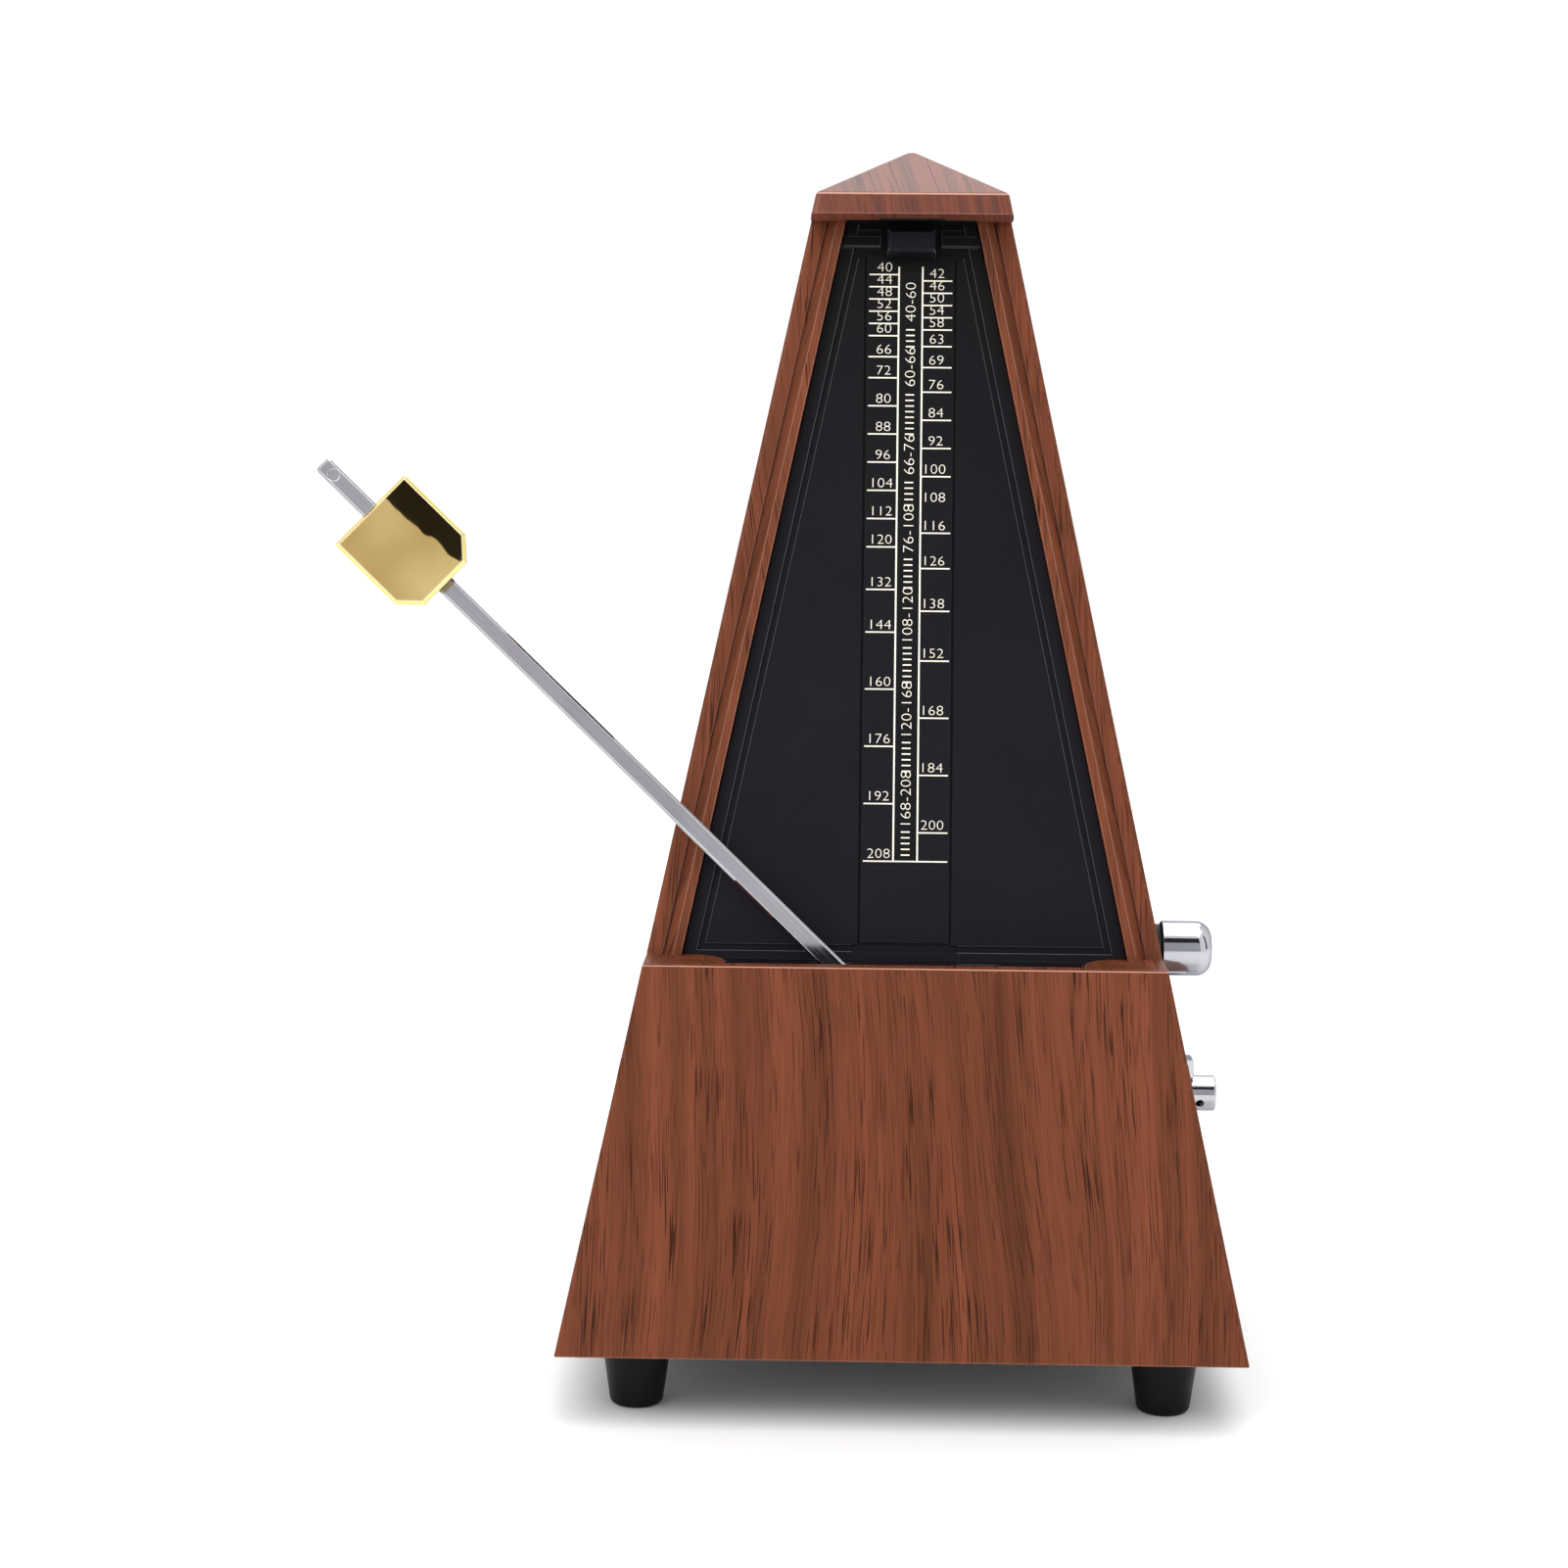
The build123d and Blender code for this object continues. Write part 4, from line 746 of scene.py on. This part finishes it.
def make_blank_plate():
    """Bare raised plate at the foot of the strip."""
    mesh = bmesh.new()
    add_bar(mesh, -BLANK_HALF_WIDTH, BLANK_HALF_WIDTH, BLANK_LOW, BLANK_HIGH, BLANK_PROUD)
    corners = []
    for edge in mesh.edges:
        lower, upper = edge.verts
        if abs((lower.co - upper.co).z) > BLANK_PROUD / 2:
            corners.append(edge)
    bmesh.ops.bevel(mesh, geom=corners, offset=BLANK_CORNER, segments=BLANK_CORNER_STEPS, affect="EDGES")
    finish_piece("blank_plate", mesh, "strip")


make_tempo_lines()
make_tempo_numbers("tempo_numbers_left", -1, LEFT_TEMPOS)
make_tempo_numbers("tempo_numbers_right", 1, RIGHT_TEMPOS)
make_range_band()
make_tempo_ranges()
make_blank_plate()


def make_weight_frame():
    """Frame at the middle of the weight's front face: across, along the rod and outwards."""
    up = Vector(rod_axis)
    axes = up.cross(-DEPTH_AXIS), up, -DEPTH_AXIS
    vertices = nodes["sliding_weight"].data.vertices
    spans = [sorted(axis.dot(vertex.co) for vertex in vertices) for axis in axes]
    places = ((spans[0][0] + spans[0][-1]) / 2, (spans[1][0] + spans[1][-1]) / 2, spans[2][-1])
    placed = Matrix.Identity(4)
    for number, axis in enumerate(axes):
        placed.col[number].xyz = axis
    placed.col[3].xyz = sum((axis * place for axis, place in zip(axes, places)), Vector())
    return placed


weight_frame = make_weight_frame()


def make_chamfer_plate(name, side):
    """Brass plate flush on one lower chamfer of the weight."""
    data = nodes["sliding_weight"].data
    across, up = (weight_frame.col[number].xyz for number in range(2))
    chamfer = [
        polygon for polygon in data.polygons
        if side * polygon.normal.dot(across) > CHAMFER_TURN and -polygon.normal.dot(up) > CHAMFER_TURN
    ]
    normal = sum((polygon.normal * polygon.area for polygon in chamfer), Vector()).normalized()
    numbers = {number for polygon in chamfer for number in polygon.vertices}
    points = [data.vertices[number].co for number in numbers]
    middle = sum(points, Vector()) / len(points)
    mesh = bmesh.new()
    for point in points:
        inset = middle + (point - middle) * PLATE_SHARE
        mesh.verts.new(inset + normal * PLATE_PROUD)
        mesh.verts.new(inset - normal * PLATE_THICK)
    hull = bmesh.ops.convex_hull(mesh, input=mesh.verts)
    spare = [item for item in hull["geom_interior"] if isinstance(item, bmesh.types.BMVert)]
    bmesh.ops.delete(mesh, geom=spare, context="VERTS")
    finish_piece(name, mesh, "brass", "weight", Matrix.Identity(4))


make_chamfer_plate("weight_chamfer_left", -1)
make_chamfer_plate("weight_chamfer_right", 1)


def add_stage(name, corners, colour, roughness):
    """Flat studio surface that is not part of the object."""
    data = bpy.data.meshes.new(name)
    data.from_pydata(corners, [], [tuple(range(len(corners)))])
    surface = Surface(name)
    surface.set(Base_Color=colour, Roughness=roughness, Specular_IOR_Level=STAGE_SPECULAR)
    data.materials.append(surface.material)
    stage = bpy.data.objects.new(name, data)
    bpy.context.scene.collection.objects.link(stage)
    return stage


def add_lamp(name, place, target, size, power):
    """Soft square lamp that faces a target."""
    lamp = bpy.data.lights.new(name, "AREA")
    lamp.size = size
    lamp.energy = power
    light = bpy.data.objects.new(name, lamp)
    light.location = place
    light.rotation_euler = (Vector(target) - Vector(place)).to_track_quat("-Z", "Y").to_euler()
    bpy.context.scene.collection.objects.link(light)


def mirror_point(place):
    """Point of the flag that the camera sees at a place across and up the weight's polished face."""
    point = weight_frame @ Vector((*place, 0.0))
    normal = weight_frame.col[2].xyz
    sight = (point - CAMERA_PLACE).normalized()
    bounce = sight - 2 * sight.dot(normal) * normal
    return point + bounce * (FLAG_PLACE - point.y) / bounce.y


def rectangle(left, right, low, high):
    """Corners of a rectangle in turn."""
    return (left, low), (right, low), (right, high), (left, high)


def add_card(name, corners, colour=DARK_CARD):
    """Card that only shows in reflections."""
    card = add_stage(name, corners, colour, CARD_ROUGHNESS)
    card.visible_camera = False
    card.visible_diffuse = False
    card.visible_shadow = False


def add_back_card(name, sides, colour=DARK_CARD):
    """Upright card behind the camera."""
    add_card(name, [(x, CARD_PLACE, z) for x, z in rectangle(*sides)], colour)


def make_studio():
    """Pale floor, bright surroundings, soft lamps, and cards for the metal to mirror."""
    floor = rectangle(-FLOOR_REACH, FLOOR_REACH, -FLOOR_REACH, FLOOR_REACH)
    add_stage("floor", [(x, y, 0) for x, y in floor], FLOOR_COLOUR, FLOOR_ROUGHNESS)
    add_back_card("low_card", LOW_CARD)
    add_back_card("side_card", SIDE_CARD)
    add_back_card("grey_card", GREY_CARD, PALE_CARD)
    add_card("right_card", [(RIGHT_CARD_PLACE, y, z) for y, z in rectangle(*RIGHT_CARD)])
    add_card("flag_card", [mirror_point(place) for place in FLAG_ON_WEIGHT])
    world = bpy.data.worlds.new("studio")
    bpy.context.scene.world = world
    world.use_nodes = True
    backdrop = world.node_tree.nodes["Background"]
    backdrop.inputs["Color"].default_value = WORLD_COLOUR
    backdrop.inputs["Strength"].default_value = WORLD_STRENGTH
    for name, settings in LAMPS.items():
        add_lamp(name, *settings)


def make_camera():
    """Camera at the photograph's viewing angle."""
    data = bpy.data.cameras.new("photo_camera")
    data.sensor_width = SENSOR_MM
    data.lens = SENSOR_MM * FOCAL_PIXELS / IMAGE_SIZE
    data.clip_start = CLIP_START
    camera = bpy.data.objects.new("photo_camera", data)
    turn = Matrix.Rotation(-CAMERA_YAW, 4, "Z") @ Matrix.Rotation(math.pi / 2 - CAMERA_PITCH, 4, "X")
    camera.matrix_world = Matrix.Translation(CAMERA_PLACE) @ turn @ Matrix.Rotation(CAMERA_ROLL, 4, "Z")
    bpy.context.scene.collection.objects.link(camera)
    bpy.context.scene.camera = camera


make_studio()
make_camera()
bpy.context.scene.view_settings.view_transform = "Standard"
